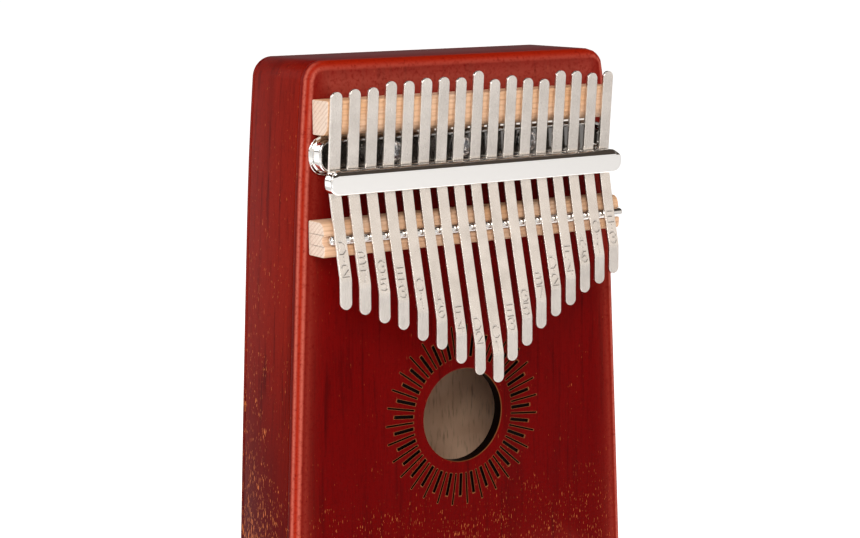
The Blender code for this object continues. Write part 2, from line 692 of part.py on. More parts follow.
def make_tine(rank, collection, cutter_collection, material):
    """One tine: a bent strip seen from the side, trimmed to round ends seen from the front."""
    note, semitones = tine_note(rank)
    slot = tine_slot(rank)
    reach = tine_reach(semitones)
    x = KEY_OFFSET + slot * TINE_PITCH
    tail_end = REAR_CREST_HEIGHT + TAIL_OVERHANGS[slot + TINE_COUNT // 2]
    name = f"tine_{note}"
    pivot = Vector((x, in_front(ROD_AXIS), ROD_HEIGHT))

    strip = extruded_mesh(name, [thicken(tine_centreline(reach, tail_end), TINE_THICKNESS)], TINE_WIDTH * 1.5)
    lay_along_x(strip, x, 0.0)
    tine = link(name, strip, collection, material)

    length = tail_end - ROD_HEIGHT + reach
    middle = tail_end - length / 2
    capsule = rounded_rectangle(TINE_WIDTH, length, TINE_WIDTH * 0.499, (x, middle))
    farthest_out = ROD_AXIS + TINE_RISE * LOWEST_TINE_REACH + TINE_WIDTH
    trim_mesh = extruded_mesh(name + "_trim", [capsule], farthest_out)
    upright(trim_mesh, in_front(farthest_out))
    trim = hide_cutter(link(name + "_trim", trim_mesh, cutter_collection))
    cut(tine, trim, "INTERSECT")
    strip.transform(Matrix.Translation(-pivot))
    tine.location = pivot
    shade_round(strip)
    return tine


# ---------------------------------------------------------------- assembly

def build():
    """Model the whole instrument."""
    for old in list(bpy.data.objects):
        bpy.data.objects.remove(old)
    scene = bpy.context.scene
    parts = bpy.data.collections.new("mbira")
    cutters = bpy.data.collections.new("mbira_cutters")
    scene.collection.children.link(parts)
    scene.collection.children.link(cutters)

    mahogany = make_material("stained_mahogany", (0.245, 0.014, 0.010), 0.42)
    bare_wood = make_material("unfinished_wood", (0.44, 0.30, 0.19), 0.7)
    beech = make_material("beech", (0.74, 0.50, 0.30), 0.55)
    chrome = make_material("chrome", (0.75, 0.75, 0.76), 0.08, 1.0)
    steel = make_material("spring_steel", (0.62, 0.61, 0.60), 0.28, 1.0)
    zinc = make_material("zinc_plated_screw", (0.60, 0.60, 0.62), 0.3, 1.0)

    tray_holes, bar_holes = screw_hole_cutters(cutters)
    make_soundboard(parts, mahogany, [hole_cutter(cutters), ray_cutter(cutters), tray_holes, bar_holes])
    make_frame(parts, mahogany)
    make_back(parts, mahogany)
    make_brace(parts, bare_wood, [tray_holes, bar_holes])

    make_rear_bridge(parts, beech)
    make_front_bridge(parts, beech, [groove_cutter(cutters)])
    make_rod(parts, steel)

    make_tray(parts, chrome, [tray_holes])
    make_bar(parts, chrome, [bar_holes])
    tray_seat = in_front(2 * CLEARANCE + TRAY_FLOOR)
    place_screws(
        "tray_screw", tray_screw_places(), tray_seat, -1, TRAY_MIDDLE,
        (TRAY_SCREW_SHANK, TRAY_SCREW_LENGTH, TRAY_SCREW_HEAD, TRAY_SCREW_HEAD_HEIGHT, 20),
        parts, cutters, zinc)
    bar_seat = BRACE_BACK + CLEARANCE
    bar_screw_length = bar_seat - in_front(BAR_UNDERSIDE + BAR_SCREW_GRIP)
    place_screws(
        "bar_screw", bar_screw_places(), bar_seat, 1, BAR_MIDDLE,
        (BAR_SCREW_SHANK, bar_screw_length, BAR_SCREW_HEAD, BAR_SCREW_HEAD_HEIGHT, 14),
        parts, cutters, zinc)

    for rank in range(TINE_COUNT):
        make_tine(rank, parts, cutters, steel)


build()
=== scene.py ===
"""Looks of a seventeen-key box mbira (thumb piano), drawn over its packed design model.

Metres, +Z up along the body; the front faces -Y. Every piece is a surface worked out with numpy on a
grid, put where the design model's nodes are, and dressed with a procedural finish.
"""

from __future__ import annotations

import json
import logging
import math
from dataclasses import dataclass, field
from enum import Enum

import bpy
import numpy as np
from mathutils import Matrix, Vector


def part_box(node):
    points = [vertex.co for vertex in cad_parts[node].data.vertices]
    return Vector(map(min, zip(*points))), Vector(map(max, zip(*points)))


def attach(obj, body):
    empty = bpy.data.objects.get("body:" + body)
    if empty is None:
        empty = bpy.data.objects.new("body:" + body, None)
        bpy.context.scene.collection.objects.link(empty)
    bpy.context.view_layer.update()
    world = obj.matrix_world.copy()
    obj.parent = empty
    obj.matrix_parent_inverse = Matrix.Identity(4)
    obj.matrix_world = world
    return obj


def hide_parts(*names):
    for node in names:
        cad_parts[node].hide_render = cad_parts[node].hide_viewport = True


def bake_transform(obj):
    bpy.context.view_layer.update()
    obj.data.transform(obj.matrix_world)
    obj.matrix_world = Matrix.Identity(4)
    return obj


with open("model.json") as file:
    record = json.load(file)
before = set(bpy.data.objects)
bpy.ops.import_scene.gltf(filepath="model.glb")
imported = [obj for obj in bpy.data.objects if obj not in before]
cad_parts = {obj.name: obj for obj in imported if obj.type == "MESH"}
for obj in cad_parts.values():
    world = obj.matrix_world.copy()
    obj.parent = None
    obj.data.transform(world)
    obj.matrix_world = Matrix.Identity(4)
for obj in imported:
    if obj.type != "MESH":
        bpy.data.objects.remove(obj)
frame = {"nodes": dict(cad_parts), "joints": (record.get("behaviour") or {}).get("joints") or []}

LOG = logging.getLogger("mbira")
MM = 0.001
ROOT_BODY = "body"

Array = np.ndarray
Node = bpy.types.Node
Socket = bpy.types.NodeSocket


# ---------------------------------------------------------------- colours and nodes

def linear(code: str) -> tuple[float, float, float, float]:
    """Turn an sRGB hex colour into the linear one that a shader takes.

    Args:
        code: six hex digits, such as "7d1612".

    Returns:
        Red, green, blue and an alpha of 1.
    """
    values = []
    for start in (0, 2, 4):
        share = int(code[start:start + 2], 16) / 255
        values.append(share / 12.92 if share <= 0.04045 else ((share + 0.055) / 1.055) ** 2.4)
    return values[0], values[1], values[2], 1.0


def add_node(tree: bpy.types.NodeTree, kind: str, settings: dict | None = None,
             inputs: dict | None = None) -> Node:
    """Add one node with its settings and links.

    Args:
        tree: the node tree that gets it.
        kind: the node's type name.
        settings: the node's own properties.
        inputs: for each input, by name or number, a value or the output that feeds it.

    Returns:
        The new node.
    """
    node = tree.nodes.new(kind)
    for name, value in (settings or {}).items():
        setattr(node, name, value)
    for name, value in (inputs or {}).items():
        if isinstance(value, Socket):
            tree.links.new(value, node.inputs[name])
        else:
            node.inputs[name].default_value = value
    return node


def new_material(name: str) -> tuple[bpy.types.Material, bpy.types.NodeTree, Node]:
    """Start a material that holds a Principled shader and nothing else.

    Args:
        name: the material's name.

    Returns:
        The material, its node tree and its shader.
    """
    material = bpy.data.materials.new(name)
    material.use_nodes = True
    tree = material.node_tree
    return material, tree, tree.nodes["Principled BSDF"]


# Scale at which a Wave node's bands are one metre apart, as it has 20 radians a metre at a scale of 1
WAVE_SCALE = 0.314

# Settings that many nodes share
SMOOTH_RISE = {"interpolation_type": "SMOOTHSTEP"}
MIX_COLOURS = {"data_type": "RGBA"}

# Numbers of the colour sockets of a Mix node, which share their names with its other sockets
MIX_A = 6
MIX_B = 7
MIX_RESULT = 2


class Grain(Enum):
    """Which way a board's fibres run; the value is the share of the pattern's fineness on X, Y and Z."""

    UPRIGHT = (1.0, 1.0, 0.06)
    ACROSS = (0.05, 1.0, 1.0)
    SLANTED = (0.5, 1.0, 0.08)

    def fineness(self, width: float) -> tuple[float, float, float]:
        """Scale for a Mapping node that makes a pattern's cells this wide across the fibres.

        Args:
            width: the cells' width in metres.

        Returns:
            The scale on X, Y and Z.
        """
        return tuple(share / width for share in self.value)


# ---------------------------------------------------------------- finishes

@dataclass(frozen=True)
class StainedMahogany:
    """Mahogany, stained red and sprayed with satin lacquer that leaves its pores open.

    The eye gets a deep red with long soft streaks, a fine mottle and short pale flecks where stain missed a
    pore.
    Over it is painted light: the red is painted lighter towards the top and on the sides and darker low on
    the sides, and the round-overs carry painted highlights, orange and pale pink, where they catch the
    lamps.
    """

    name: str = "stained_mahogany"
    low: str = "5c0000"
    # high, side and foot are painted light: lighter towards the top and on the sides, darkest low on the
    # sides, as light falls there
    high: str = "6c0605"
    side: str = "82190c"
    foot: str = "480000"
    streak: str = "330001"
    fleck: str = "d0743e"
    # Painted highlights on the round-overs: orange, and pale pink where the lamps glint
    painted_orange_highlight: str = "961c06"
    cloud_and_highlight: str = "bc6454"
    scorched_edge: str = "8c5a35"
    char: str = "0b0403"
    roughness: float = 0.36
    specular: float = 0.026
    bump: float = 0.25
    relief: float = 0.06 * MM
    streak_width: float = 1.9 * MM
    figure_width: float = 15 * MM
    patch_width: float = 7 * MM
    # Real fibres and pores are some 0.1 mm wide, which would not show, so these are coarser
    fibre_width: float = 0.35 * MM
    mottle_width: float = 0.9 * MM
    fleck_size: tuple[float, float, float] = (0.36 * MM, 0.36 * MM, 2.2 * MM)

    def make(self) -> bpy.types.Material:
        """Build the material's nodes.

        Returns:
            The new material.
        """
        material, tree, shader = new_material(self.name)
        place = add_node(tree, "ShaderNodeTexCoord").outputs["Object"]
        where = add_node(tree, "ShaderNodeSeparateXYZ", inputs={"Vector": place})
        numbers: dict[str, Socket] = {"y": where.outputs["Y"], "z": where.outputs["Z"]}

        # Noises of several sizes, and what the mesh carries
        for name, scale, detail in (
                ("figure", Grain.UPRIGHT.fineness(self.figure_width), 2.0),
                ("streaks", Grain.UPRIGHT.fineness(self.streak_width), 5.0),
                ("fibres", Grain.UPRIGHT.fineness(self.fibre_width), 2.0),
                ("mottle", (1 / self.mottle_width,) * 3, 4.0),
                ("dashes", tuple(1 / size for size in self.fleck_size), 2.0),
                ("patches", (1 / self.patch_width,) * 3, 2.0)):
            stretched = add_node(tree, "ShaderNodeMapping", inputs={"Vector": place, "Scale": scale})
            numbers[name] = add_node(tree, "ShaderNodeTexNoise", inputs={
                "Vector": stretched.outputs[0], "Scale": 1.0, "Detail": detail}).outputs["Fac"]
        for name in ("side", "orange_highlight", "rim", "burn"):
            numbers[name] = add_node(tree, "ShaderNodeAttribute", {"attribute_name": name}).outputs["Fac"]

        # Steps, in order: a rise goes smoothly from 0 to its last number as its source passes from the
        # first number to the second, and the others join two numbers. Flecks crowd low down, in patches
        # and far back on the sides, where they are also stronger.
        for name, step, source, settings in (
                ("band", "MULTIPLY", "figure", (0.09,)),
                ("height", "ADD", "z", ("band",)),
                # Painted light: these shares bring in the lighter red towards the top and on the sides
                ("upper", "RISE", "height", (0.05, 0.23, 1.0)),
                ("upper_side", "RISE", "height", (0.06, 0.17, 1.0)),
                ("side_share", "MULTIPLY", "side", (0.9,)),
                ("dark_figure", "RISE", "figure", (0.56, 0.78, 0.55)),
                ("dark_streaks", "RISE", "streaks", (0.52, 0.78, 0.60)),
                ("dark_fibres", "RISE", "fibres", (0.40, 0.75, 0.22)),
                ("dark_mottle", "RISE", "mottle", (0.50, 0.75, 0.25)),
                ("far_back", "RISE", "y", (-0.014, 0.010, 0.070)),
                ("below_top", "RISE", "z", (0.180, 0.060, 1.0)),
                ("low_down", "RISE", "z", (0.066, 0.020, 0.090)),
                ("in_patches", "RISE", "patches", (0.40, 0.70, 0.050)),
                ("crowd", "MULTIPLY", "far_back", ("below_top",)),
                ("crowd", "MULTIPLY", "crowd", ("side",)),
                ("crowd", "ADD", "crowd", ("low_down",)),
                ("crowd", "ADD", "crowd", ("in_patches",)),
                ("crowd", "ADD", "crowd", ("dashes",)),
                ("speck", "RISE", "crowd", (0.725, 0.79, 0.85)),
                ("strength", "RISE", "side", (-1.0, 0.8, 1.0)),
                ("fleck", "MULTIPLY", "speck", ("strength",)),
                # Painted highlights on the round-overs, broken up by the mottle
                ("orange_highlight_grain", "RISE", "mottle", (0.05, 0.55, 1.0)),
                ("painted_orange_highlight", "MULTIPLY", "orange_highlight", ("orange_highlight_grain",)),
                ("rim_grain", "RISE", "mottle", (0.05, 0.60, 1.0)),
                ("cloud_and_highlight", "MULTIPLY", "rim", ("rim_grain",)),
                ("scorched", "RISE", "burn", (0.20, 0.55, 0.7)),
                ("charred", "RISE", "burn", (0.55, 0.85, 1.0)),
                ("sunk", "MULTIPLY", "fleck", (-0.6,)),
                ("relief", "ADD", "fibres", ("sunk",))):
            if step == "RISE":
                low, high, most = settings
                node = add_node(tree, "ShaderNodeMapRange", SMOOTH_RISE, {
                    "Value": numbers[source], "From Min": low, "From Max": high, "To Max": most})
            else:
                node = add_node(tree, "ShaderNodeMath", {"operation": step}, {
                    0: numbers[source], 1: numbers.get(settings[0], settings[0])})
            numbers[name] = node.outputs[0]

        # The body's own red, painted lighter on the sides and towards the top and darker low on the sides
        # as light falls there, and what lies over it
        upright = add_node(tree, "ShaderNodeMix", MIX_COLOURS, {
            0: numbers["upper_side"], MIX_A: linear(self.foot), MIX_B: linear(self.side)})
        colour = linear(self.low)
        for share, above in (
                ("upper", linear(self.high)),
                ("side_share", upright.outputs[MIX_RESULT]),
                ("dark_figure", linear(self.streak)),
                ("dark_streaks", linear(self.streak)),
                ("dark_fibres", linear(self.streak)),
                ("dark_mottle", linear(self.streak)),
                ("fleck", linear(self.fleck)),
                ("painted_orange_highlight", linear(self.painted_orange_highlight)),
                ("cloud_and_highlight", linear(self.cloud_and_highlight)),
                ("scorched", linear(self.scorched_edge)),
                ("charred", linear(self.char))):
            colour = add_node(tree, "ShaderNodeMix", MIX_COLOURS, {
                0: numbers[share], MIX_A: colour, MIX_B: above}).outputs[MIX_RESULT]
        tree.links.new(colour, shader.inputs["Base Color"])
        bump = add_node(tree, "ShaderNodeBump", inputs={
            "Strength": self.bump, "Distance": self.relief, "Height": numbers["relief"]})
        tree.links.new(bump.outputs[0], shader.inputs["Normal"])
        shader.inputs["Roughness"].default_value = self.roughness
        shader.inputs["Specular IOR Level"].default_value = self.specular
        return material


@dataclass(frozen=True)
class PaleWood:
    """Bare sanded wood, with fine fibres and growth layers that show as soft lines.

    The layers lie in tilted planes, so that they run along a board's faces and cross its ends aslant.
    Where the mesh carries "end", the wood is end grain, which sanding leaves paler.
    """

    name: str
    light: str
    dark: str
    line: str
    grain: Grain
    tilt: float
    layer: float = 1.3 * MM
    blotch_width: float = 14 * MM
    # Real fibres are far finer than this, and would not show
    fibre_width: float = 0.5 * MM
    roughness: float = 0.6
    specular: float = 0.3
    bump: float = 0.3
    relief: float = 0.08 * MM

    def make(self) -> bpy.types.Material:
        """Build the material's nodes.

        Returns:
            The new material.
        """
        material, tree, shader = new_material(self.name)
        place = add_node(tree, "ShaderNodeTexCoord").outputs["Object"]
        leaning = add_node(tree, "ShaderNodeMapping", inputs={
            "Vector": place, "Rotation": (self.tilt, 0.0, 0.0)})
        rings = add_node(tree, "ShaderNodeTexWave", {"bands_direction": "Z"}, {
            "Vector": leaning.outputs[0], "Scale": WAVE_SCALE / self.layer, "Distortion": 1.6,
            "Detail": 2.0, "Detail Scale": 0.6})
        stretched = add_node(tree, "ShaderNodeMapping", inputs={
            "Vector": place, "Scale": self.grain.fineness(self.fibre_width)})
        fibres = add_node(tree, "ShaderNodeTexNoise", inputs={
            "Vector": stretched.outputs[0], "Scale": 1.0, "Detail": 4.0})
        blotches = add_node(tree, "ShaderNodeTexNoise", inputs={
            "Vector": place, "Scale": 1 / self.blotch_width, "Detail": 2.0})
        end = add_node(tree, "ShaderNodeAttribute", {"attribute_name": "end"})
        along = add_node(tree, "ShaderNodeMath", {"operation": "MULTIPLY_ADD"}, {
            0: end.outputs["Fac"], 1: -0.75, 2: 0.20})
        warmth = add_node(tree, "ShaderNodeMath", {"operation": "ADD", "use_clamp": True}, {
            0: along.outputs[0], 1: blotches.outputs["Fac"]})
        tone = add_node(tree, "ShaderNodeMix", MIX_COLOURS, {
            0: warmth.outputs[0], MIX_A: linear(self.light), MIX_B: linear(self.dark)})
        depth = add_node(tree, "ShaderNodeMapRange", SMOOTH_RISE, {
            "Value": rings.outputs["Fac"], "From Min": 0.62, "From Max": 1.0, "To Max": 0.30})
        tone = add_node(tree, "ShaderNodeMix", MIX_COLOURS, {
            0: depth.outputs[0], MIX_A: tone.outputs[MIX_RESULT], MIX_B: linear(self.line)})
        thread = add_node(tree, "ShaderNodeMapRange", SMOOTH_RISE, {
            "Value": fibres.outputs["Fac"], "From Min": 0.50, "From Max": 0.78, "To Max": 0.55})
        tone = add_node(tree, "ShaderNodeMix", MIX_COLOURS, {
            0: thread.outputs[0], MIX_A: tone.outputs[MIX_RESULT], MIX_B: linear(self.line)})
        tree.links.new(tone.outputs[MIX_RESULT], shader.inputs["Base Color"])
        bump = add_node(tree, "ShaderNodeBump", inputs={
            "Strength": self.bump, "Distance": self.relief, "Height": fibres.outputs["Fac"]})
        tree.links.new(bump.outputs[0], shader.inputs["Normal"])
        shader.inputs["Roughness"].default_value = self.roughness
        shader.inputs["Specular IOR Level"].default_value = self.specular
        return material


@dataclass(frozen=True)
class Metal:
    """A metal, plain or plated, with fine scratches from polishing or drawing.

    The scratches run along X on a bar and along Z on a strip, and only change the roughness a little.
    Real ones are a few micrometres wide, which would not show, so these are coarser. Where the mesh
    carries "stamp", the surface takes the stamped tone: on a tine that is its stamped mark, dulled as a
    stamped mark is, and on the tray it is painted shade inside it and on the top of its upper wall; and
    cloud is how far soft blotches of the same tone come up all over.
    """

    name: str
    colour: str
    roughness: float
    scratch: tuple[float, float, float]
    scatter: float = 0.05
    stamped: str | None = None
    cloud: float = 0.0
    cloud_width: float = 6 * MM

    def make(self) -> bpy.types.Material:
        """Build the material's nodes.

        Returns:
            The new material.
        """
        material, tree, shader = new_material(self.name)
        place = add_node(tree, "ShaderNodeTexCoord").outputs["Object"]
        stretched = add_node(tree, "ShaderNodeMapping", inputs={
            "Vector": place, "Scale": tuple(1 / size for size in self.scratch)})
        lines = add_node(tree, "ShaderNodeTexNoise", inputs={
            "Vector": stretched.outputs[0], "Scale": 1.0, "Detail": 3.0})
        rough = add_node(tree, "ShaderNodeMapRange", inputs={
            "Value": lines.outputs["Fac"], "From Min": 0.3, "From Max": 0.7,
            "To Min": max(self.roughness - self.scatter, 0.02), "To Max": self.roughness + self.scatter})
        tree.links.new(rough.outputs[0], shader.inputs["Roughness"])
        shader.inputs["Base Color"].default_value = linear(self.colour)
        if self.stamped is not None:
            cloud_and_highlight = add_node(tree, "ShaderNodeTexNoise", inputs={
                "Vector": place, "Scale": 1 / self.cloud_width, "Detail": 3.0})
            share = add_node(tree, "ShaderNodeMapRange", inputs={
                "Value": cloud_and_highlight.outputs["Fac"], "From Min": 0.3, "From Max": 0.8, "To Max": self.cloud})
            stamp = add_node(tree, "ShaderNodeAttribute", {"attribute_name": "stamp"})
            share = add_node(tree, "ShaderNodeMath", {"operation": "ADD", "use_clamp": True}, {
                0: share.outputs[0], 1: stamp.outputs["Fac"]})
            tone = add_node(tree, "ShaderNodeMix", MIX_COLOURS, {
                0: share.outputs[0], MIX_A: linear(self.colour), MIX_B: linear(self.stamped)})
            tree.links.new(tone.outputs[MIX_RESULT], shader.inputs["Base Color"])
        shader.inputs["Metallic"].default_value = 1.0
        return material


@dataclass(frozen=True)
class PaintedFloor:
    """Matt white paint on a studio floor, rolled on.

    It glows of itself, as a floor with lamps of its own does: a little just in front of the object,
    more further out and behind, and less in a strip that runs past the object's left.
    """

    name: str = "painted_floor"
    colour: str = "f6f6f6"
    roughness: float = 0.9
    roller_width: float = 2.5 * MM
    near_glow: float = 0.05
    front_glow: float = 0.61
    back_glow: float = 0.92
    left_dimming: float = 0.80

    def make(self) -> bpy.types.Material:
        """Build the material's nodes.

        Returns:
            The new material.
        """
        material, tree, shader = new_material(self.name)
        place = add_node(tree, "ShaderNodeTexCoord").outputs["Object"]
        roller = add_node(tree, "ShaderNodeTexNoise", inputs={
            "Vector": place, "Scale": 1 / self.roller_width})
        bump = add_node(tree, "ShaderNodeBump", inputs={
            "Strength": 0.05, "Distance": 0.1 * MM, "Height": roller.outputs["Fac"]})
        tree.links.new(bump.outputs[0], shader.inputs["Normal"])
        shader.inputs["Base Color"].default_value = linear(self.colour)
        shader.inputs["Roughness"].default_value = self.roughness
        shader.inputs["Specular IOR Level"].default_value = 0.0
        shader.inputs["Emission Color"].default_value = linear(self.colour)

        # Each share of the glow comes in smoothly from its first place to its second, on Y or across
        # the strip, whose line is at X less 0.4 times Y
        where = add_node(tree, "ShaderNodeSeparateXYZ", inputs={"Vector": place})
        across = add_node(tree, "ShaderNodeMath", {"operation": "MULTIPLY_ADD"}, {
            0: where.outputs["Y"], 1: -0.4, 2: where.outputs["X"]})
        numbers: dict[str, Socket] = {"y": where.outputs["Y"], "across": across.outputs[0]}
        for name, source, start, end, most in (
                ("back", "y", -0.36, -0.08, self.back_glow),
                ("front", "y", -0.50, -0.90, self.front_glow),
                ("left", "across", -0.15, -0.26, self.left_dimming),
                ("not_far_left", "across", -0.80, -0.55, 1.0)):
            numbers[name] = add_node(tree, "ShaderNodeMapRange", SMOOTH_RISE, {
                "Value": numbers[source], "From Min": start, "From Max": end, "To Max": most}).outputs[0]
        for name, operation, first, second in (
                ("glow", "ADD", "back", "front"),
                ("glow", "ADD", "glow", self.near_glow),
                ("strip", "MULTIPLY", "left", "not_far_left"),
                ("glow", "SUBTRACT", "glow", "strip")):
            numbers[name] = add_node(tree, "ShaderNodeMath", {"operation": operation}, {
                0: numbers[first], 1: numbers.get(second, second)}).outputs[0]
        tree.links.new(numbers["glow"], shader.inputs["Emission Strength"])
        return material


@dataclass
class Finishes:
    """Every finish of the instrument, made once and shared."""

    mahogany: bpy.types.Material = field(default_factory=lambda: StainedMahogany().make())

    # Planed and left as it is inside the box: brownish, with slanting dark pores
    bare: bpy.types.Material = field(default_factory=lambda: PaleWood(
        "unfinished_wood", "ffd6b2", "bc9074", "4e3626", Grain.SLANTED, math.radians(90)).make())

    # Sanded and lightly oiled: pinkish, with layers that cross the ends as oblique lines
    beech: bpy.types.Material = field(default_factory=lambda: PaleWood(
        "beech", "e4d0bf", "dca674", "a87858", Grain.ACROSS, math.radians(38)).make())

    # Buffed along its length before plating, so that it is nearly a mirror; its stamped tone is painted
    # shade in the tray
    chrome: bpy.types.Material = field(default_factory=lambda: Metal(
        "chrome_plate", "f0eeeb", 0.07, (6 * MM, 0.2 * MM, 0.2 * MM), 0.02, "332d29").make())

    # Drawn and hardened strip: a satin sheen with fine lines along it
    spring_steel: bpy.types.Material = field(default_factory=lambda: Metal(
        "satin_spring_steel", "ece4dc", 0.26, (0.12 * MM, 0.12 * MM, 9 * MM), 0.06, "a29a92", 0.32).make())

    # Polished rod, a little less bright than chrome
    rod_steel: bpy.types.Material = field(default_factory=lambda: Metal(
        "polished_steel_rod", "dcdad8", 0.14, (5 * MM, 0.2 * MM, 0.2 * MM), 0.04).make())

    # Turned heads with bright zinc on them
    zinc: bpy.types.Material = field(default_factory=lambda: Metal(
        "zinc_plated_screw", "dadadc", 0.2, (0.4 * MM, 0.4 * MM, 0.4 * MM), 0.08).make())


# ---------------------------------------------------------------- places of the design model

def centre_of(node: str) -> tuple[float, float, float]:
    """The middle of a node's box."""
    low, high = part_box(node)
    return (low[0] + high[0]) / 2, (low[1] + high[1]) / 2, (low[2] + high[2]) / 2


def stand_in(piece: bpy.types.Object, node: str) -> None:
    """Put a piece that moves with the box in a node's place.

    Args:
        piece: the piece.
        node: the node whose place it takes.
    """
    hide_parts(node)
    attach(piece, ROOT_BODY)


def dress(node: str, material: bpy.types.Material) -> None:
    """Give a node that stays in view its finish.

    Args:
        node: the node's name.
        material: its finish.
    """
    carrier = frame["nodes"][node]
    carrier.data.materials.clear()
    carrier.data.materials.append(material)


# ---------------------------------------------------------------- surfaces

@dataclass
class Surface:
    """A grid of points, rows by columns, which closes into one skin.

    Args:
        points: rows, columns and three coordinates.
        wrap_rows: whether the last row joins the first; if not, each end row is closed by one face.
        shades: for each attribute name, its value at each point of the grid.
        second_rows: the range of rows whose faces take the second material.
    """

    points: Array
    wrap_rows: bool = False
    shades: dict[str, Array] = field(default_factory=dict)
    second_rows: tuple[int, int] = (0, 0)

    def quads(self) -> Array:
        """Number the corners of the faces between neighbouring rows and columns, which always wrap.

        Returns:
            Four corner numbers for each face, row by row.
        """
        rows, columns = self.points.shape[:2]
        row, column = np.meshgrid(
            np.arange(rows if self.wrap_rows else rows - 1), np.arange(columns), indexing="ij")
        above, beside = (row + 1) % rows, (column + 1) % columns
        corners = [row * columns + column, row * columns + beside,
                   above * columns + beside, above * columns + column]
        return np.stack(corners, axis=-1).reshape(-1, 4)

    def volume(self, quads: Array) -> float:
        """Volume inside the skin: a sixth of the sum of each triangle's triple product.

        Args:
            quads: the faces' corner numbers.

        Returns:
            The volume, negative if the faces look inwards.
        """
        flat = self.points.reshape(-1, 3) - self.points.reshape(-1, 3).mean(axis=0)
        a, b, c, d = (flat[quads[:, corner]] for corner in range(4))
        total = np.einsum("ij,ij->", a, np.cross(b, c)) + np.einsum("ij,ij->", a, np.cross(c, d))
        if not self.wrap_rows:
            rows, columns = self.points.shape[:2]
            for ring, sign in ((flat[:columns], -1), (flat[(rows - 1) * columns:], 1)):
                hub = np.broadcast_to(ring[:1], ring.shape)
                total += sign * np.einsum("ij,ij->", hub, np.cross(ring, np.roll(ring, -1, axis=0)))
        return total / 6

    def piece(self, name: str, *materials: bpy.types.Material, crease: float = 35.0) -> bpy.types.Object:
        """Make the surface an object.

        Args:
            name: the piece's name.
            materials: the first dresses it all but the second rows.
            crease: the angle in degrees past which an edge shades as a sharp one.

        Returns:
            The new object, at the origin.
        """
        quads = self.quads()
        rows, columns = self.points.shape[:2]
        faces = quads.tolist()
        if not self.wrap_rows:
            faces.append(list(range(columns))[::-1])
            faces.append(list(range((rows - 1) * columns, rows * columns)))
        if self.volume(quads) < 0:
            faces = [face[::-1] for face in faces]
        mesh = bpy.data.meshes.new(name)
        mesh.from_pydata(self.points.reshape(-1, 3).tolist(), [], faces)
        for shade, values in self.shades.items():
            attribute = mesh.attributes.new(shade, "FLOAT", "POINT")
            attribute.data.foreach_set("value", np.ravel(values).astype(np.float32))
        for material in materials:
            mesh.materials.append(material)
        numbers = np.zeros(len(faces), dtype=np.int32)
        first, last = self.second_rows
        numbers[first * columns:last * columns] = 1
        if first == 0 and last > 0:
            numbers[len(quads)] = 1
        mesh.polygons.foreach_set("material_index", numbers)
        mesh.shade_smooth()
        mesh.set_sharp_from_angle(angle=math.radians(crease))
        mesh.update()
        piece = bpy.data.objects.new(name, mesh)
        bpy.context.scene.collection.objects.link(piece)
        LOG.info("%s: %d faces", name, len(faces))
        return piece


@dataclass(frozen=True)
class Outline:
    """A closed outline: its points, and the outward normal at each."""

    points: Array
    normals: Array

    def swept(self, insets: Array, stations: Array) -> Array:
        """Carry the outline along a third axis.

        Each ring is the outline moved inwards along its normals by that ring's inset.

        Args:
            insets: one for each ring.
            stations: each ring's place on the third axis.

        Returns:
            Rings by points, with the outline's two coordinates and the station.
        """
        rings = self.points[None] - np.asarray(insets)[:, None, None] * self.normals[None]
        heights = np.broadcast_to(np.asarray(stations)[:, None, None], (*rings.shape[:2], 1))
        return np.concatenate([rings, heights], axis=-1)


def rounded_bar(width: float, height: float, radius: float, centre: tuple[float, float],
                steps: int = 16) -> Outline:
    """A rectangle with quarter circles for corners, counter-clockwise.

    Args:
        width: the whole width, along the first axis.
        height: the whole height, along the second.
        radius: the corners' radius.
        centre: the middle of the rectangle.
        steps: points on each corner.

    Returns:
        The outline; its normals are the corners' spokes.
    """
    turn = np.linspace(0, math.pi / 2, steps)
    angle = np.concatenate([turn + quarter * math.pi / 2 for quarter in range(4)])
    normals = np.stack([np.cos(angle), np.sin(angle)], axis=-1)
    across = np.repeat([1, -1, -1, 1], steps) * (width / 2 - radius)
    up = np.repeat([1, 1, -1, -1], steps) * (height / 2 - radius)
    hubs = np.stack([across, up], axis=-1) + np.asarray(centre)
    return Outline(hubs + radius * normals, normals)


def filleted(corners: list[tuple[float, float]], radii: tuple[float, ...], spacing: float) -> Outline:
    """A polygon with rounded corners, sampled evenly.

    At a corner, the arc touches both sides at radius / tan(half the corner's angle) from it.

    Args:
        corners: the polygon, counter-clockwise.
        radii: each corner's radius, above 0.
        spacing: the distance between samples.

    Returns:
        The outline; its normals are the chords' directions turned by a right angle.
    """
    runs = []
    for index, (corner, radius) in enumerate(zip(corners, radii)):
        here = np.array(corner)
        back = np.array(corners[index - 1]) - here
        ahead = np.array(corners[(index + 1) % len(corners)]) - here
        back, ahead = back / np.linalg.norm(back), ahead / np.linalg.norm(ahead)
        half = math.acos(float(np.clip(back @ ahead, -1, 1))) / 2
        middle = (back + ahead) / np.linalg.norm(back + ahead)
        hub = here + middle * radius / math.sin(half)
        first = here + back * radius / math.tan(half) - hub
        turn = np.linspace(0, math.pi - 2 * half, 24)
        runs.append(hub + np.stack([
            first[0] * np.cos(turn) - first[1] * np.sin(turn),
            first[0] * np.sin(turn) + first[1] * np.cos(turn)], axis=-1))
    return resampled(np.concatenate(runs), spacing)


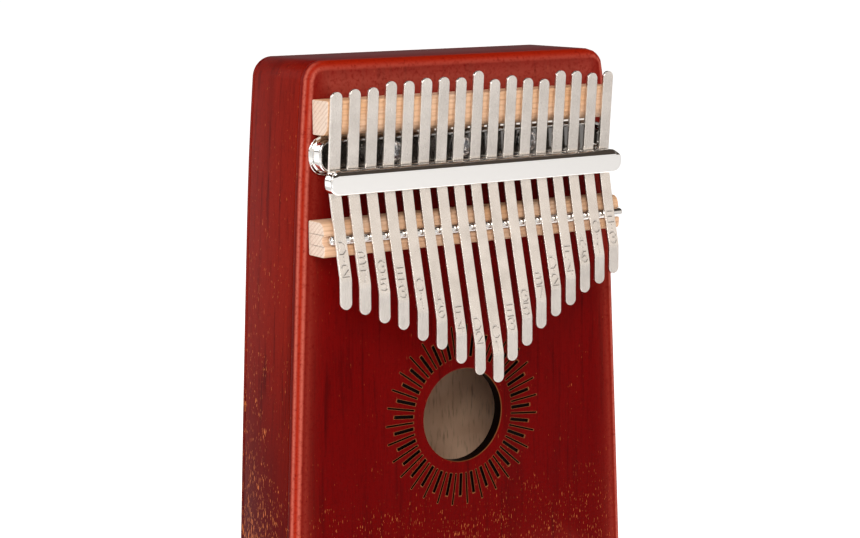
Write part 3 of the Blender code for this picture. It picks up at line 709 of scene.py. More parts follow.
def resampled(points: Array, spacing: float) -> Outline:
    """Sample a closed line evenly along its length, and work out its normals.

    Args:
        points: the line's points, counter-clockwise.
        spacing: the distance between samples.

    Returns:
        The outline.
    """
    closed = np.concatenate([points, points[:1]])
    travelled = np.concatenate([[0.0], np.cumsum(np.linalg.norm(np.diff(closed, axis=0), axis=1))])
    stops = np.linspace(0, travelled[-1], int(travelled[-1] / spacing), endpoint=False)
    even = np.stack([np.interp(stops, travelled, closed[:, axis]) for axis in (0, 1)], axis=-1)
    along = np.roll(even, -1, axis=0) - np.roll(even, 1, axis=0)
    along /= np.linalg.norm(along, axis=1, keepdims=True)
    return Outline(even, np.stack([along[:, 1], -along[:, 0]], axis=-1))


def quarter(steps: int) -> tuple[Array, Array]:
    """Sine and one minus cosine of angles from 0 to a right angle, for a round-over."""
    angle = np.linspace(0, math.pi / 2, steps)
    return np.sin(angle), 1 - np.cos(angle)


def smooth(value: Array) -> Array:
    """Smooth step of a value held between 0 and 1."""
    held = np.clip(value, 0, 1)
    return held * held * (3 - 2 * held)


def from_front(rings: Array) -> Array:
    """Rings drawn as (x, z, y), put as x, y, z."""
    return rings[..., [0, 2, 1]]


# ---------------------------------------------------------------- wooden box

@dataclass
class Box:
    """The hollow body: soundboard with its hole and rays, side frame and back plate."""

    finishes: Finishes
    width_bottom: float = 134 * MM
    width_top: float = 117 * MM
    bow: float = 0.3 * MM
    shoulder_length: float = 50 * MM
    shoulder_narrowing: float = 1.1 * MM
    corner: float = 6.8 * MM
    wall: float = 6 * MM
    front_round: float = 3.3 * MM
    back_round: float = 2.2 * MM
    seam_round: float = 0.28 * MM
    side_share: float = 0.82
    seam_gap: float = 0.10 * MM
    hole_radius: float = 15.5 * MM
    hole_centre: tuple[float, float] = (-0.6 * MM, 67.3 * MM)
    hole_round: float = 0.35 * MM
    ray_pairs: int = 31
    ray_start: float = 19.6 * MM
    ray_ends: tuple[float, float] = (27.0 * MM, 30.0 * MM)
    ray_widths: tuple[float, float] = (1.0 * MM, 0.45 * MM)
    ray_depth: float = 0.7 * MM
    ray_slope: float = 0.11 * MM
    scorch: float = 0.26 * MM

    def __post_init__(self) -> None:
        """Read the box's places from the design model."""
        low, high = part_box("soundboard")
        self.height = high[2] - low[2]
        self.front = low[1]
        self.board_back = high[1] + self.seam_gap
        low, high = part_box("body_frame")
        self.frame_front, self.frame_back = low[1] - self.seam_gap, high[1] + self.seam_gap
        low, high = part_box("back_plate")
        self.plate_front, self.back = low[1] - self.seam_gap, high[1]

    def half_width(self, height: Array) -> Array:
        """Half the width: a straight taper, plus a parabola's swell, less a parabola at the shoulder.

        Args:
            height: heights above the bottom end.

        Returns:
            Half the width at each.
        """
        along = height / self.height
        taper = (self.width_top - self.width_bottom) / 2
        up = np.maximum(height - self.height + self.shoulder_length, 0) / self.shoulder_length
        swell = self.bow * 4 * along * (1 - along) - self.shoulder_narrowing * up ** 2
        return self.width_bottom / 2 + taper * along + swell

    def lean(self, height: float) -> float:
        """The angle by which a side leans inwards, from the widths just above and below.

        Args:
            height: height above the bottom end.

        Returns:
            The angle in radians.
        """
        step = self.height / 1000
        low, high = self.half_width(np.array([height - step, height + step]))
        return math.atan((low - high) / (2 * step))

    def outline(self, corner_steps: int = 24, side_steps: int = 30, end_steps: int = 14) -> Outline:
        """The body's outline in X and Z, counter-clockwise from the middle of the bottom end.

        Args:
            corner_steps: points on each corner.
            side_steps: points on each side.
            end_steps: points on half of either end.

        Returns:
            The outline: the right half, then its mirror image run backwards.
        """
        low, high = self.corner, self.height - self.corner
        leans = [self.lean(level) for level in (low, high)]
        hubs = [float(self.half_width(level)) - self.corner / math.cos(lean)
                for level, lean in zip((low, high), leans)]
        rises = [self.corner * math.sin(lean) for lean in leans]
        side = np.linspace(low + rises[0], high + rises[1], side_steps + 2)[1:-1]
        slope = np.gradient(self.half_width(side), side)
        spoke = np.concatenate([
            np.full(end_steps, -math.pi / 2),
            np.linspace(-math.pi / 2, leans[0], corner_steps),
            np.arctan(-slope),
            np.linspace(leans[1], math.pi / 2, corner_steps),
            np.full(end_steps, math.pi / 2)])
        normals = np.stack([np.cos(spoke), np.sin(spoke)], axis=-1)
        x = np.concatenate([
            np.linspace(0, hubs[0], end_steps, endpoint=False),
            hubs[0] + self.corner * normals[end_steps:end_steps + corner_steps, 0],
            self.half_width(side),
            hubs[1] + self.corner * normals[-end_steps - corner_steps:-end_steps, 0],
            np.linspace(hubs[1], 0, end_steps + 1)[1:]])
        z = np.concatenate([
            np.zeros(end_steps),
            low + self.corner * normals[end_steps:end_steps + corner_steps, 1],
            side,
            high + self.corner * normals[-end_steps - corner_steps:-end_steps, 1],
            np.full(end_steps, self.height)])
        right = np.stack([x, z], axis=-1)
        mirror = np.array([-1, 1])
        return Outline(
            np.concatenate([right, (right * mirror)[-2:0:-1]]),
            np.concatenate([normals, (normals * mirror)[-2:0:-1]]))

    def seen_from_hole(self, angles: Array) -> Outline:
        """The outline's points in given directions from the hole's centre.

        Args:
            angles: the directions.

        Returns:
            The outline, read off a fine one by the direction of its points.
        """
        fine = self.outline(80, 300, 80)
        away = fine.points - np.asarray(self.hole_centre)
        heading = np.arctan2(away[:, 1], away[:, 0])

        def read(values: Array) -> Array:
            """Both coordinates at the angles."""
            columns = [np.interp(angles, heading, values[:, axis], period=2 * math.pi) for axis in (0, 1)]
            return np.stack(columns, axis=-1)

        return Outline(read(fine.points), read(fine.normals))

    def ray_columns(self) -> tuple[Array, Array]:
        """Columns of the soundboard's grid, which run along the rays' edges.

        A column's direction is a + b / r at the radius r: b is its distance from a ray's centreline,
        which stays the same along the ray, and columns between two rays share out what is left.

        Returns:
            a and b for every column.
        """
        starts, offsets = [], []
        step = math.pi / self.ray_pairs
        edges = []
        for width in self.ray_widths:
            half = width / 2
            rise = [half + self.scorch, half + self.ray_slope / 2, half - self.ray_slope / 2]
            edges.append(np.array([-rise[0], -rise[1], -rise[2], 0.0, rise[2], rise[1], rise[0]]))
        for ray in range(2 * self.ray_pairs):
            own, following = edges[ray % 2], edges[(ray + 1) % 2]
            starts += [np.full(len(own), ray * step)]
            offsets += [own]
            share = np.array([1 / 3, 2 / 3])
            starts += [(ray + share) * step]
            offsets += [(1 - share) * own[-1] + share * following[0]]
        return np.concatenate(starts), np.concatenate(offsets)

    def ray_cut(self, radius: Array, angle: Array) -> tuple[Array, Array]:
        """How deep the rays are cut at each point, and how scorched the wood is.

        Both come from the distance to the nearest ray, which is a rectangle: the point's distance past
        its sides and past its ends, combined as the two legs of a right triangle.

        Args:
            radius: distance from the hole's centre.
            angle: direction from the hole's centre.

        Returns:
            Depth, and scorching from 0 to 1.
        """
        step = math.pi / self.ray_pairs
        distance = np.full(radius.shape, np.inf)
        for kind, (width, end) in enumerate(zip(self.ray_widths, self.ray_ends)):
            nearest = (np.round((angle / step - kind) / 2) * 2 + kind) * step
            aside = np.abs(angle - nearest) * radius - width / 2
            beyond = np.maximum(self.ray_start - radius, radius - end)
            outside = np.hypot(np.maximum(aside, 0), np.maximum(beyond, 0))
            inside = np.minimum(np.maximum(aside, beyond), 0)
            distance = np.minimum(distance, outside + inside)
        depth = self.ray_depth * np.clip(0.5 - distance / self.ray_slope, 0, 1)
        return depth, np.clip(1 - distance / self.scorch, 0, 1)

    def soundboard(self) -> bpy.types.Object:
        """Front plate, as one ring of surface: hole wall, rim, face with rays, round-over and back.

        Round the hole, the rim falls as a quarter circle and the rays are cut into the flat face. From
        there the rows pass in straight steps to the outline, whose edge is a quarter circle too,
        narrower by the side share where the outline faces sideways.

        Returns:
            The front plate's piece.
        """
        a, b = self.ray_columns()
        centre = np.asarray(self.hole_centre)
        sine, fall = quarter(6)
        wall_rows = 5
        rim_end = wall_rows + len(sine)
        wall_depth = np.linspace(self.board_back, self.front + self.hole_round, wall_rows + 1)[:-1]
        radii = np.concatenate([
            np.full(wall_rows, self.hole_radius),
            self.hole_radius + self.hole_round * fall,
            np.array([16.4, 17.6, 18.8, 19.2]) * MM,
            self.ray_start + np.array([-self.ray_slope, self.ray_slope]),
            np.linspace(20.6 * MM, 26.0 * MM, 6),
            self.ray_ends[0] + np.array([-self.ray_slope, self.ray_slope]),
            np.linspace(27.8 * MM, 29.2 * MM, 3),
            self.ray_ends[1] + np.array([-self.ray_slope, self.ray_slope]),
            np.array([30.5]) * MM])
        depth = np.concatenate([
            wall_depth,
            self.front + self.hole_round * (1 - sine),
            np.full(len(radii) - rim_end, self.front)])
        angles = a[None] + b[None] / radii[:, None]
        spokes = np.stack([np.cos(angles), np.sin(angles)], axis=-1)
        inner = centre + radii[:, None, None] * spokes
        cut, burn = self.ray_cut(np.broadcast_to(radii[:, None], angles.shape), angles)
        cut[:rim_end], burn[:rim_end] = 0, 0
        burn[:wall_rows] = 1.0
        burn[wall_rows:rim_end] = np.linspace(0.7, 0.1, len(sine))[:, None]
        inner = np.concatenate([inner, (depth[:, None] + cut)[..., None]], axis=-1)

        edge = self.seen_from_hole(angles[-1])
        rise, run = quarter(14)
        seam_rise, seam_run = quarter(4)
        insets = np.concatenate([
            self.front_round * (1 - rise), [0.0, 0.0], self.seam_round * seam_run[1:]])
        levels = np.concatenate([
            self.front + self.front_round * run,
            [self.front + self.front_round + 0.1 * MM, self.board_back - self.seam_round],
            self.board_back - self.seam_round * (1 - seam_rise[1:])])
        outer = edge.swept(insets, levels)
        upright = np.abs(edge.normals[:, 0])
        narrower = 1 - (1 - self.side_share) * upright[None, :, None]
        rounded = slice(0, len(rise))
        hub = edge.points[None]
        outer[rounded, :, :2] = hub + (outer[rounded, :, :2] - hub) * narrower
        outer[rounded, :, 2:] = self.front + (outer[rounded, :, 2:] - self.front) * narrower
        share = np.linspace(0, 1, 26)[1:-1, None, None]
        face = (1 - share) * inner[-1:] + share * outer[:1]
        underside = (1 - share[::8]) * outer[-1:] + share[::8] * inner[:1]
        points = from_front(np.concatenate([inner, face, outer, underside]))
        scorched = np.zeros(points.shape[:2])
        scorched[:len(burn)] = burn
        first = len(inner) + len(face)
        turn = np.linspace(0, 1, len(rise))[:, None]
        orange_highlight, rim, side = (np.zeros(points.shape[:2]) for _ in range(3))

        def band(middle: float, spread: float) -> Array:
            """A bell of this half width about a share of the round-over, from front 0 to side 1."""
            return np.exp(-((turn - middle) / spread) ** 2)

        # Painted highlights: orange and pale pink lines along the round-over, two on the sides and one
        # along the ends, a painted glow on the face just inside it, and the painted lighter red of the
        # sides on the board's edge
        orange_highlight[first:first + len(rise)] = smooth((1.04 - turn) / 0.25) * smooth(0.35 + 2.2 * turn)
        rim[first:first + len(rise)] = (
            upright * (0.75 * band(0.22, 0.13) + 0.85 * band(0.74, 0.13))
            + (1 - upright) * 0.28 * band(0.16, 0.20))
        near = np.linspace(0, 1, len(face))[:, None]
        rim[first - len(face):first] = (1 - upright) * 0.32 * near ** 5 + upright * 0.10 * near ** 16
        orange_highlight[first - len(face):first] = (1 - upright) * 0.45 * near ** 4 + upright * 0.3 * near ** 16
        side[first + len(rise):first + len(rise) + 2] = upright
        surface = Surface(points, wrap_rows=True, shades={
            "burn": scorched, "orange_highlight": orange_highlight, "rim": rim, "side": side})
        return surface.piece("soundboard_skin", self.finishes.mahogany)

    def side_frame(self) -> bpy.types.Object:
        """Side walls: a rectangle with softened outer edges, carried round the outline.

        Returns:
            The side walls' piece.
        """
        rise, run = quarter(4)
        insets = np.concatenate([
            self.seam_round * (1 - rise), self.seam_round * run, [self.wall, self.wall]])
        levels = np.concatenate([
            self.frame_front + self.seam_round * run,
            self.frame_back - self.seam_round * (1 - rise), [self.frame_back, self.frame_front]])
        line = self.outline()
        points = from_front(line.swept(insets, levels))
        # How far each point faces sideways: this brings in the painted lighter red of the sides, and their
        # flecks
        side = np.broadcast_to(np.abs(line.normals[:, 0]), points.shape[:2])
        surface = Surface(points, wrap_rows=True, shades={"side": side},
                          second_rows=(len(insets) - 2, len(insets) - 1))
        return surface.piece("side_frame", self.finishes.mahogany, self.finishes.bare)

    def back_plate(self) -> bpy.types.Object:
        """Back plate: the outline, with a quarter circle for its rear edge, closed by shrunken rings.

        Returns:
            The back plate's piece, which is bare inside.
        """
        line = self.outline()
        rise, run = quarter(12)
        rings = line.swept(
            np.concatenate([[0.3 * MM, 0.0, 0.0], self.back_round * run[1:], [self.back_round + 0.1 * MM]]),
            np.concatenate([
                [self.plate_front, self.plate_front + 0.2 * MM, self.back - self.back_round],
                self.back - self.back_round * (1 - rise[1:]), [self.back]]))
        middle = np.array([0.0, self.height / 2])
        share = np.linspace(0.05, 1, 8)[:-1, None, None]
        centre = np.broadcast_to(middle, rings.shape[1:2] + (2,))

        def fan(ring: Array) -> Array:
            """Shrink a ring towards the middle, step by step.

            Args:
                ring: the ring's points.

            Returns:
                One smaller ring for each share, at the same level.
            """
            flat = centre + share * (ring[None, :, :2] - centre)
            level = np.broadcast_to(ring[None, :, 2:], (*flat.shape[:2], 1))
            return np.concatenate([flat, level], axis=-1)

        inside, outside = fan(rings[0]), fan(rings[-1])[::-1]
        points = from_front(np.concatenate([inside, rings, outside]))
        side = np.broadcast_to(np.abs(line.normals[:, 0]), points.shape[:2]).copy()
        inner_rows = len(share)
        round_start = inner_rows + 3
        round_end = round_start + len(rise) - 1
        # The outer face takes a quarter of the side share, so a little of the sides' painted lighter red
        # and of their flecks
        side[:inner_rows], side[round_end:] = 0, 0.25
        # Painted orange highlight along the back's round-over
        orange_highlight = np.zeros(points.shape[:2])
        orange_highlight[round_start:round_end] = 0.6 * np.sin(
            np.linspace(0.2, math.pi, round_end - round_start))[:, None]
        surface = Surface(points, shades={"orange_highlight": orange_highlight, "side": side}, second_rows=(0, inner_rows))
        return surface.piece("back_plate_skin", self.finishes.mahogany, self.finishes.bare)

    def build(self) -> None:
        """Make the three skins and put them over their nodes."""
        for piece, node in ((self.soundboard(), "soundboard"), (self.side_frame(), "body_frame"),
                            (self.back_plate(), "back_plate")):
            stand_in(piece, node)
        dress("inner_brace", self.finishes.bare)


# ---------------------------------------------------------------- bridges and rod

@dataclass
class Bridges:
    """The two beech bridges, and the steel rod in the front one."""

    finishes: Finishes
    front: float
    end_round: float = 0.25 * MM
    sampling: float = 0.13 * MM
    rear_radii: tuple[float, ...] = (0.5 * MM, 3.8 * MM, 0.9 * MM, 0.5 * MM)
    rear_lean: float = 1.0 * MM
    front_radii: tuple[float, ...] = (0.5 * MM, 1.2 * MM, 4.0 * MM, 2.6 * MM, 0.5 * MM)
    front_falls: tuple[float, float] = (0.4 * MM, 1.4 * MM)
    front_crest: float = 10.0 * MM
    rod_seat: float = 5.2 * MM
    rod_round: float = 0.9 * MM
    groove_play: float = 0.12 * MM

    def carried(self, name: str, profile: Outline, node: str) -> None:
        """Carry a side view, drawn as (out from the board, height), along its node's length.

        The end edges are softened by an inset that falls as a quarter circle.

        Args:
            name: the piece's name.
            profile: the side view.
            node: the node whose ends it takes.
        """
        low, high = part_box(node)
        rise, run = quarter(5)
        insets = np.concatenate([self.end_round * (1 - rise), self.end_round * run])
        stations = np.concatenate([
            low[0] + self.end_round * run, high[0] - self.end_round * (1 - rise)])
        rings = profile.swept(insets, stations)
        base = rings[0, :, 0].min()
        shares = np.array([0.9, 0.5, 0.08])[:, None]

        def end_face(ring: Array) -> Array:
            """Draw a ring in towards its glued edge, step by step, to close an end.

            Args:
                ring: the ring's points.

            Returns:
                One narrower ring for each share.
            """
            drawn = np.broadcast_to(ring, (len(shares), *ring.shape)).copy()
            drawn[..., 0] = base + shares * (ring[None, :, 0] - base)
            return drawn

        rings = np.concatenate([end_face(rings[0])[::-1], rings, end_face(rings[-1])])
        points = np.stack([rings[..., 2], self.front - rings[..., 0], rings[..., 1]], axis=-1)
        end = np.zeros(points.shape[:2])
        end[:len(shares) + 2], end[-len(shares) - 2:] = 1, 1
        piece = Surface(points, shades={"end": end}).piece(name, self.finishes.beech, crease=50)
        stand_in(piece, node)

    def rear(self) -> None:
        """Rear bridge, whose face leans up to a crest."""
        low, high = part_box("rear_bridge")
        near, crest = self.front - high[1], self.front - low[1]
        corners = [(near, low[2]), (crest - self.rear_lean, low[2]), (crest, high[2]), (near, high[2])]
        self.carried("rear_bridge_beech", filleted(corners, self.rear_radii, self.sampling), "rear_bridge")

    def front_with_groove(self) -> None:
        """Front bridge: where its side view meets the rod's groove, it follows the groove's circle."""
        low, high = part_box("front_bridge")
        near, crest = self.front - high[1], self.front_crest
        rod_low, rod_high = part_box("bridge_rod")
        _, rod_depth, rod_height = centre_of("bridge_rod")
        hub = np.array([self.front - rod_depth, rod_height])
        radius = (rod_high[2] - rod_low[2]) / 2 + self.groove_play
        corners = [
            (near, low[2]), (crest - self.front_falls[0], low[2]), (crest, low[2] + self.rod_seat),
            (crest - self.front_falls[1], high[2]), (near, high[2])]
        plain = filleted(corners, self.front_radii, self.sampling).points
        kept = np.linalg.norm(plain - hub, axis=1) > radius
        first = int(np.argmax(~kept))
        after = first + int(np.argmax(kept[first:]))
        ends = [math.atan2(*(plain[index] - hub)[::-1]) for index in (first - 1, after)]
        turn = np.linspace(ends[0], ends[1] - 2 * math.pi, 30)
        notch = hub + radius * np.stack([np.cos(turn), np.sin(turn)], axis=-1)
        line = np.concatenate([plain[:first], notch, plain[after:]])
        self.carried("front_bridge_beech", resampled(line, self.sampling), "front_bridge")

    def rod(self) -> None:
        """Rod: circles carried along X, whose radius falls as a quarter circle at both ends."""
        low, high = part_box("bridge_rod")
        radius, rounding = (high[2] - low[2]) / 2, self.rod_round
        rise, run = quarter(8)
        turn = np.linspace(0, 2 * math.pi, 48, endpoint=False)
        circle = np.stack([np.cos(turn), np.sin(turn)], axis=-1)
        line = Outline(radius * circle, circle)
        insets = np.concatenate([
            [rounding + 0.2 * MM], rounding * (1 - rise), rounding * run, [rounding + 0.2 * MM]])
        stations = np.concatenate([
            [low[0]], low[0] + rounding * run, high[0] - rounding * (1 - rise), [high[0]]])
        rings = line.swept(insets, stations)
        _, depth, height = centre_of("bridge_rod")
        points = np.stack([rings[..., 2], depth + rings[..., 0], height + rings[..., 1]], axis=-1)
        piece = Surface(points).piece("bridge_rod_steel", self.finishes.rod_steel)
        stand_in(piece, "bridge_rod")

    def build(self) -> None:
        """Make both bridges and the rod."""
        self.rear()
        self.front_with_groove()
        self.rod()


# ---------------------------------------------------------------- tray, bar and screws

@dataclass
class Clamp:
    """What holds the keys down: chromed tray and pressure bar, and the screws."""

    finishes: Finishes
    front: float
    tray_corner: float = 5.0 * MM
    tray_floor: float = 1.0 * MM
    tray_wall: float = 1.2 * MM
    tray_lip: float = 1.0 * MM
    tray_soft: float = 0.25 * MM
    bar_corner: float = 3.2 * MM
    bar_round: float = 0.7 * MM
    bevel_height: float = 1.5 * MM
    bevel_slopes: tuple[float, float] = (0.62, 0.45)
    head_height: float = 2.0 * MM
    dome_power: float = 2.4
    shank: float = 1.5 * MM
    slot_width: float = 0.8 * MM
    slot_reach: float = 2.1 * MM
    slot_depth: float = 1.1 * MM

    def pressed(self, name: str, node: str, corner: float, profile: list[tuple[float, float]],
                upper: list[tuple[float, float]] | None = None, shaded_rows: int = 0) -> None:
        """A chromed piece: a side view of (inset, out from the board), carried round its node's outline.

        Args:
            name: the piece's name.
            node: the node that it stands for.
            corner: radius of the outline's corners.
            profile: the side view, from the middle of the underside to the middle of the top.
            upper: the side view along the upper side, if that is not the same.
            shaded_rows: how many of the last rings, inside the tray, are painted darker as shade, as is
                then the top of the upper wall.
        """
        low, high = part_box(node)
        x, _, z = centre_of(node)
        line = rounded_bar(high[0] - low[0], high[2] - low[2], corner, (x, z))
        view = np.array(profile)
        rings = line.swept(view[:, 0], self.front - view[:, 1])
        if upper is not None:
            other = np.array(upper)
            share = smooth(2 * line.normals[:, 1] - 0.8)[None, :, None]
            rings += share * (line.swept(other[:, 0], self.front - other[:, 1]) - rings)
        points = from_front(rings)
        # Painted shade: the tray's inside and the top of its upper wall are darkened, standing in for the
        # shade and the dark surroundings that they reflect
        darkened = np.zeros(points.shape[:2])
        darkened[len(darkened) - shaded_rows:] = np.linspace(0.1, 0.8, shaded_rows)[:, None]
        if shaded_rows:
            darkened[view[:, 1] > view[:, 1].mean()] = 0.7 * smooth(2.5 * line.normals[:, 1] - 0.8)
        piece = Surface(points, shades={"stamp": darkened}).piece(name, self.finishes.chrome, crease=28)
        stand_in(piece, node)

    def tray(self) -> None:
        """Tray: a floor with a lip, and a wall with a round top."""
        low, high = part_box("tray")
        base, top = self.front - high[1], self.front - low[1]
        floor = base + self.tray_floor
        soft = self.tray_soft
        rise, run = quarter(6)
        outer, inner = self.tray_lip, self.tray_lip + self.tray_wall
        crown = self.tray_wall / 2
        view = [(0.5 * MM, base), (soft, base)]
        view += [(soft * (1 - s), base + soft * c) for s, c in zip(rise, run)]
        view += [(soft * c, floor - soft * (1 - s)) for s, c in zip(rise, run)]
        view += [(outer - soft * (1 - s), floor + soft * c) for s, c in zip(rise, run)]
        view += [(outer + crown * c, top - crown * (1 - s)) for s, c in zip(rise, run)]
        view += [(inner - crown * (1 - s), top - crown * c) for s, c in zip(rise, run)]
        view += [(inner + soft * c, floor + soft * (1 - s)) for s, c in zip(rise, run)]
        view += [(inner + 2 * soft, floor)]
        self.pressed("tray_chrome", "tray", self.tray_corner, view, shaded_rows=7)

    def bar(self) -> None:
        """Pressure bar: a flat face with round edges, but a broad curved bevel along the upper side.

        The bevel falls by the first slope times the distance from the face's edge, plus the second
        times that distance's cube over the square of the bevel's height.
        """
        low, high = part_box("pressure_bar")
        base, top = self.front - high[1], self.front - low[1]
        rise, run = quarter(14)
        step = 0.08 * MM
        under = [(self.bar_round + step, base)]
        under += [(self.bar_round * (1 - s), base + self.bar_round * c) for s, c in zip(rise, run)]
        view = [(self.bar_round * c, top - self.bar_round * (1 - s)) for s, c in zip(rise, run)]
        view += [(self.bar_round + step, top)]
        steep, steeper = self.bevel_slopes
        away = self.bevel_height * np.linspace(1, 0, len(rise))
        drop = steep * away + steeper * away ** 3 / self.bevel_height ** 2
        bevel = [(self.bevel_height - a, top - d) for a, d in zip(away, drop)]
        bevel += [(self.bevel_height + step, top)]
        self.pressed("pressure_bar_chrome", "pressure_bar", self.bar_corner, under + view, under + bevel)

    def slot(self, x: Array, z: Array) -> Array:
        """Depth of the cross slot at points of a screw's head: two bars with sloping sides.

        Args:
            x: distance from the screw's middle along one bar.
            z: distance from it along the other.

        Returns:
            The deeper of the two bars at each point.
        """
        def arm(along: Array, across: Array) -> Array:
            """Depth of one bar, which runs out in a slope at its ends.

            Args:
                along: distance from the middle along the bar.
                across: distance from its centreline.

            Returns:
                Its depth at each point.
            """
            sides = np.clip((self.slot_width / 2 - np.abs(across)) / (0.14 * MM) + 0.5, 0, 1)
            ends = np.clip((self.slot_reach - np.abs(along)) / (0.7 * MM), 0, 1)
            return self.slot_depth * sides * ends

        return np.maximum(arm(x, z), arm(z, x))

    def tray_screw(self, number: int) -> None:
        """One pan-head screw: a superellipse dome with a cross slot, turned about Y.

        Args:
            number: which of the three; each is turned a little further than the last.
        """
        node = f"tray_screw_{number}"
        low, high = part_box(node)
        x, _, z = centre_of(node)
        head = (high[0] - low[0]) / 2
        radii = np.concatenate([
            np.linspace(0.05 * MM, 0.92 * head, 34), head * np.linspace(0.94, 1.0, 8)])
        share = np.clip(radii / head, 0, 1)
        dome = (1 - share ** self.dome_power) ** (1 / self.dome_power)
        seat = low[1] + self.head_height
        level = seat - self.head_height * (0.3 + 0.7 * dome)
        turn = np.linspace(0, 2 * math.pi, 120, endpoint=False)
        spoke = np.stack([np.cos(turn), np.sin(turn)], axis=-1)
        spin = math.radians(28 * number)
        flat = radii[:, None, None] * spoke[None]
        turned_x = flat[..., 0] * math.cos(spin) + flat[..., 1] * math.sin(spin)
        turned_z = flat[..., 1] * math.cos(spin) - flat[..., 0] * math.sin(spin)
        depth = level[:, None] + self.slot(turned_x, turned_z)
        top = np.concatenate([flat, depth[..., None]], axis=-1)
        below = Outline(head * spoke, spoke).swept(
            np.array([0.0, 0.1 * MM, head - self.shank, head - self.shank, head - 0.2 * MM]),
            np.array([seat - 0.1 * MM, seat, seat, high[1] - self.shank, high[1]]))
        points = np.concatenate([top, below]) + np.array([x, z, 0.0])
        piece = Surface(from_front(points)).piece(f"tray_screw_turned_{number}", self.finishes.zinc)
        stand_in(piece, node)

    def build(self) -> None:
        """Make the tray, the bar and the screws."""
        self.tray()
        self.bar()
        for number in (1, 2, 3):
            self.tray_screw(number)
        for number in (1, 2, 3, 4):
            dress(f"bar_screw_{number}", self.finishes.zinc)


# ---------------------------------------------------------------- keys

# Strokes of the note marks, on a square whose corners are (0, 0) and (1, 1)
STROKES: dict[str, list[list[tuple[float, float]]]] = {
    "A": [[(0, 0), (0.5, 1), (1, 0)], [(0.2, 0.38), (0.8, 0.38)]],
    "B": [[(0, 0.53), (0, 1), (0.65, 1), (0.95, 0.85), (0.95, 0.65), (0.65, 0.53), (0, 0.53), (0, 0),
           (0.7, 0), (1, 0.15), (1, 0.38), (0.65, 0.53)]],
    "C": [[(1, 0.82), (0.75, 1), (0.3, 1), (0, 0.75), (0, 0.25), (0.3, 0), (0.75, 0), (1, 0.18)]],
    "D": [[(0, 0), (0, 1), (0.55, 1), (1, 0.7), (1, 0.3), (0.55, 0), (0, 0)]],
    "E": [[(1, 1), (0, 1), (0, 0), (1, 0)], [(0, 0.52), (0.8, 0.52)]],
    "F": [[(1, 1), (0, 1), (0, 0)], [(0, 0.52), (0.75, 0.52)]],
    "G": [[(1, 0.82), (0.75, 1), (0.3, 1), (0, 0.75), (0, 0.25), (0.3, 0), (0.75, 0), (1, 0.2),
           (1, 0.48), (0.6, 0.48)]],
    "1": [[(0.25, 0.78), (0.55, 1), (0.55, 0)]],
    "2": [[(0, 0.78), (0.2, 1), (0.75, 1), (1, 0.78), (1, 0.6), (0, 0), (1, 0)]],
    "3": [[(0, 0.88), (0.3, 1), (0.75, 1), (1, 0.8), (0.8, 0.53), (0.4, 0.53)],
          [(0.8, 0.53), (1, 0.28), (0.75, 0), (0.3, 0), (0, 0.14)]],
    "4": [[(0.75, 0), (0.75, 1), (0, 0.32), (1, 0.32)]],
    "5": [[(0.95, 1), (0.1, 1), (0.05, 0.56), (0.6, 0.62), (1, 0.4), (0.9, 0.1), (0.55, 0), (0, 0.1)]],
    "6": [[(0.9, 0.95), (0.45, 0.95), (0.05, 0.5), (0.05, 0.2), (0.35, 0), (0.7, 0), (1, 0.22),
           (0.9, 0.5), (0.5, 0.58), (0.08, 0.4)]],
    "7": [[(0, 1), (1, 1), (0.4, 0)]],
    ".": [[(0.5, 0.5), (0.5, 0.51)]],
}

SCALE_LETTERS = "CDEFGAB"


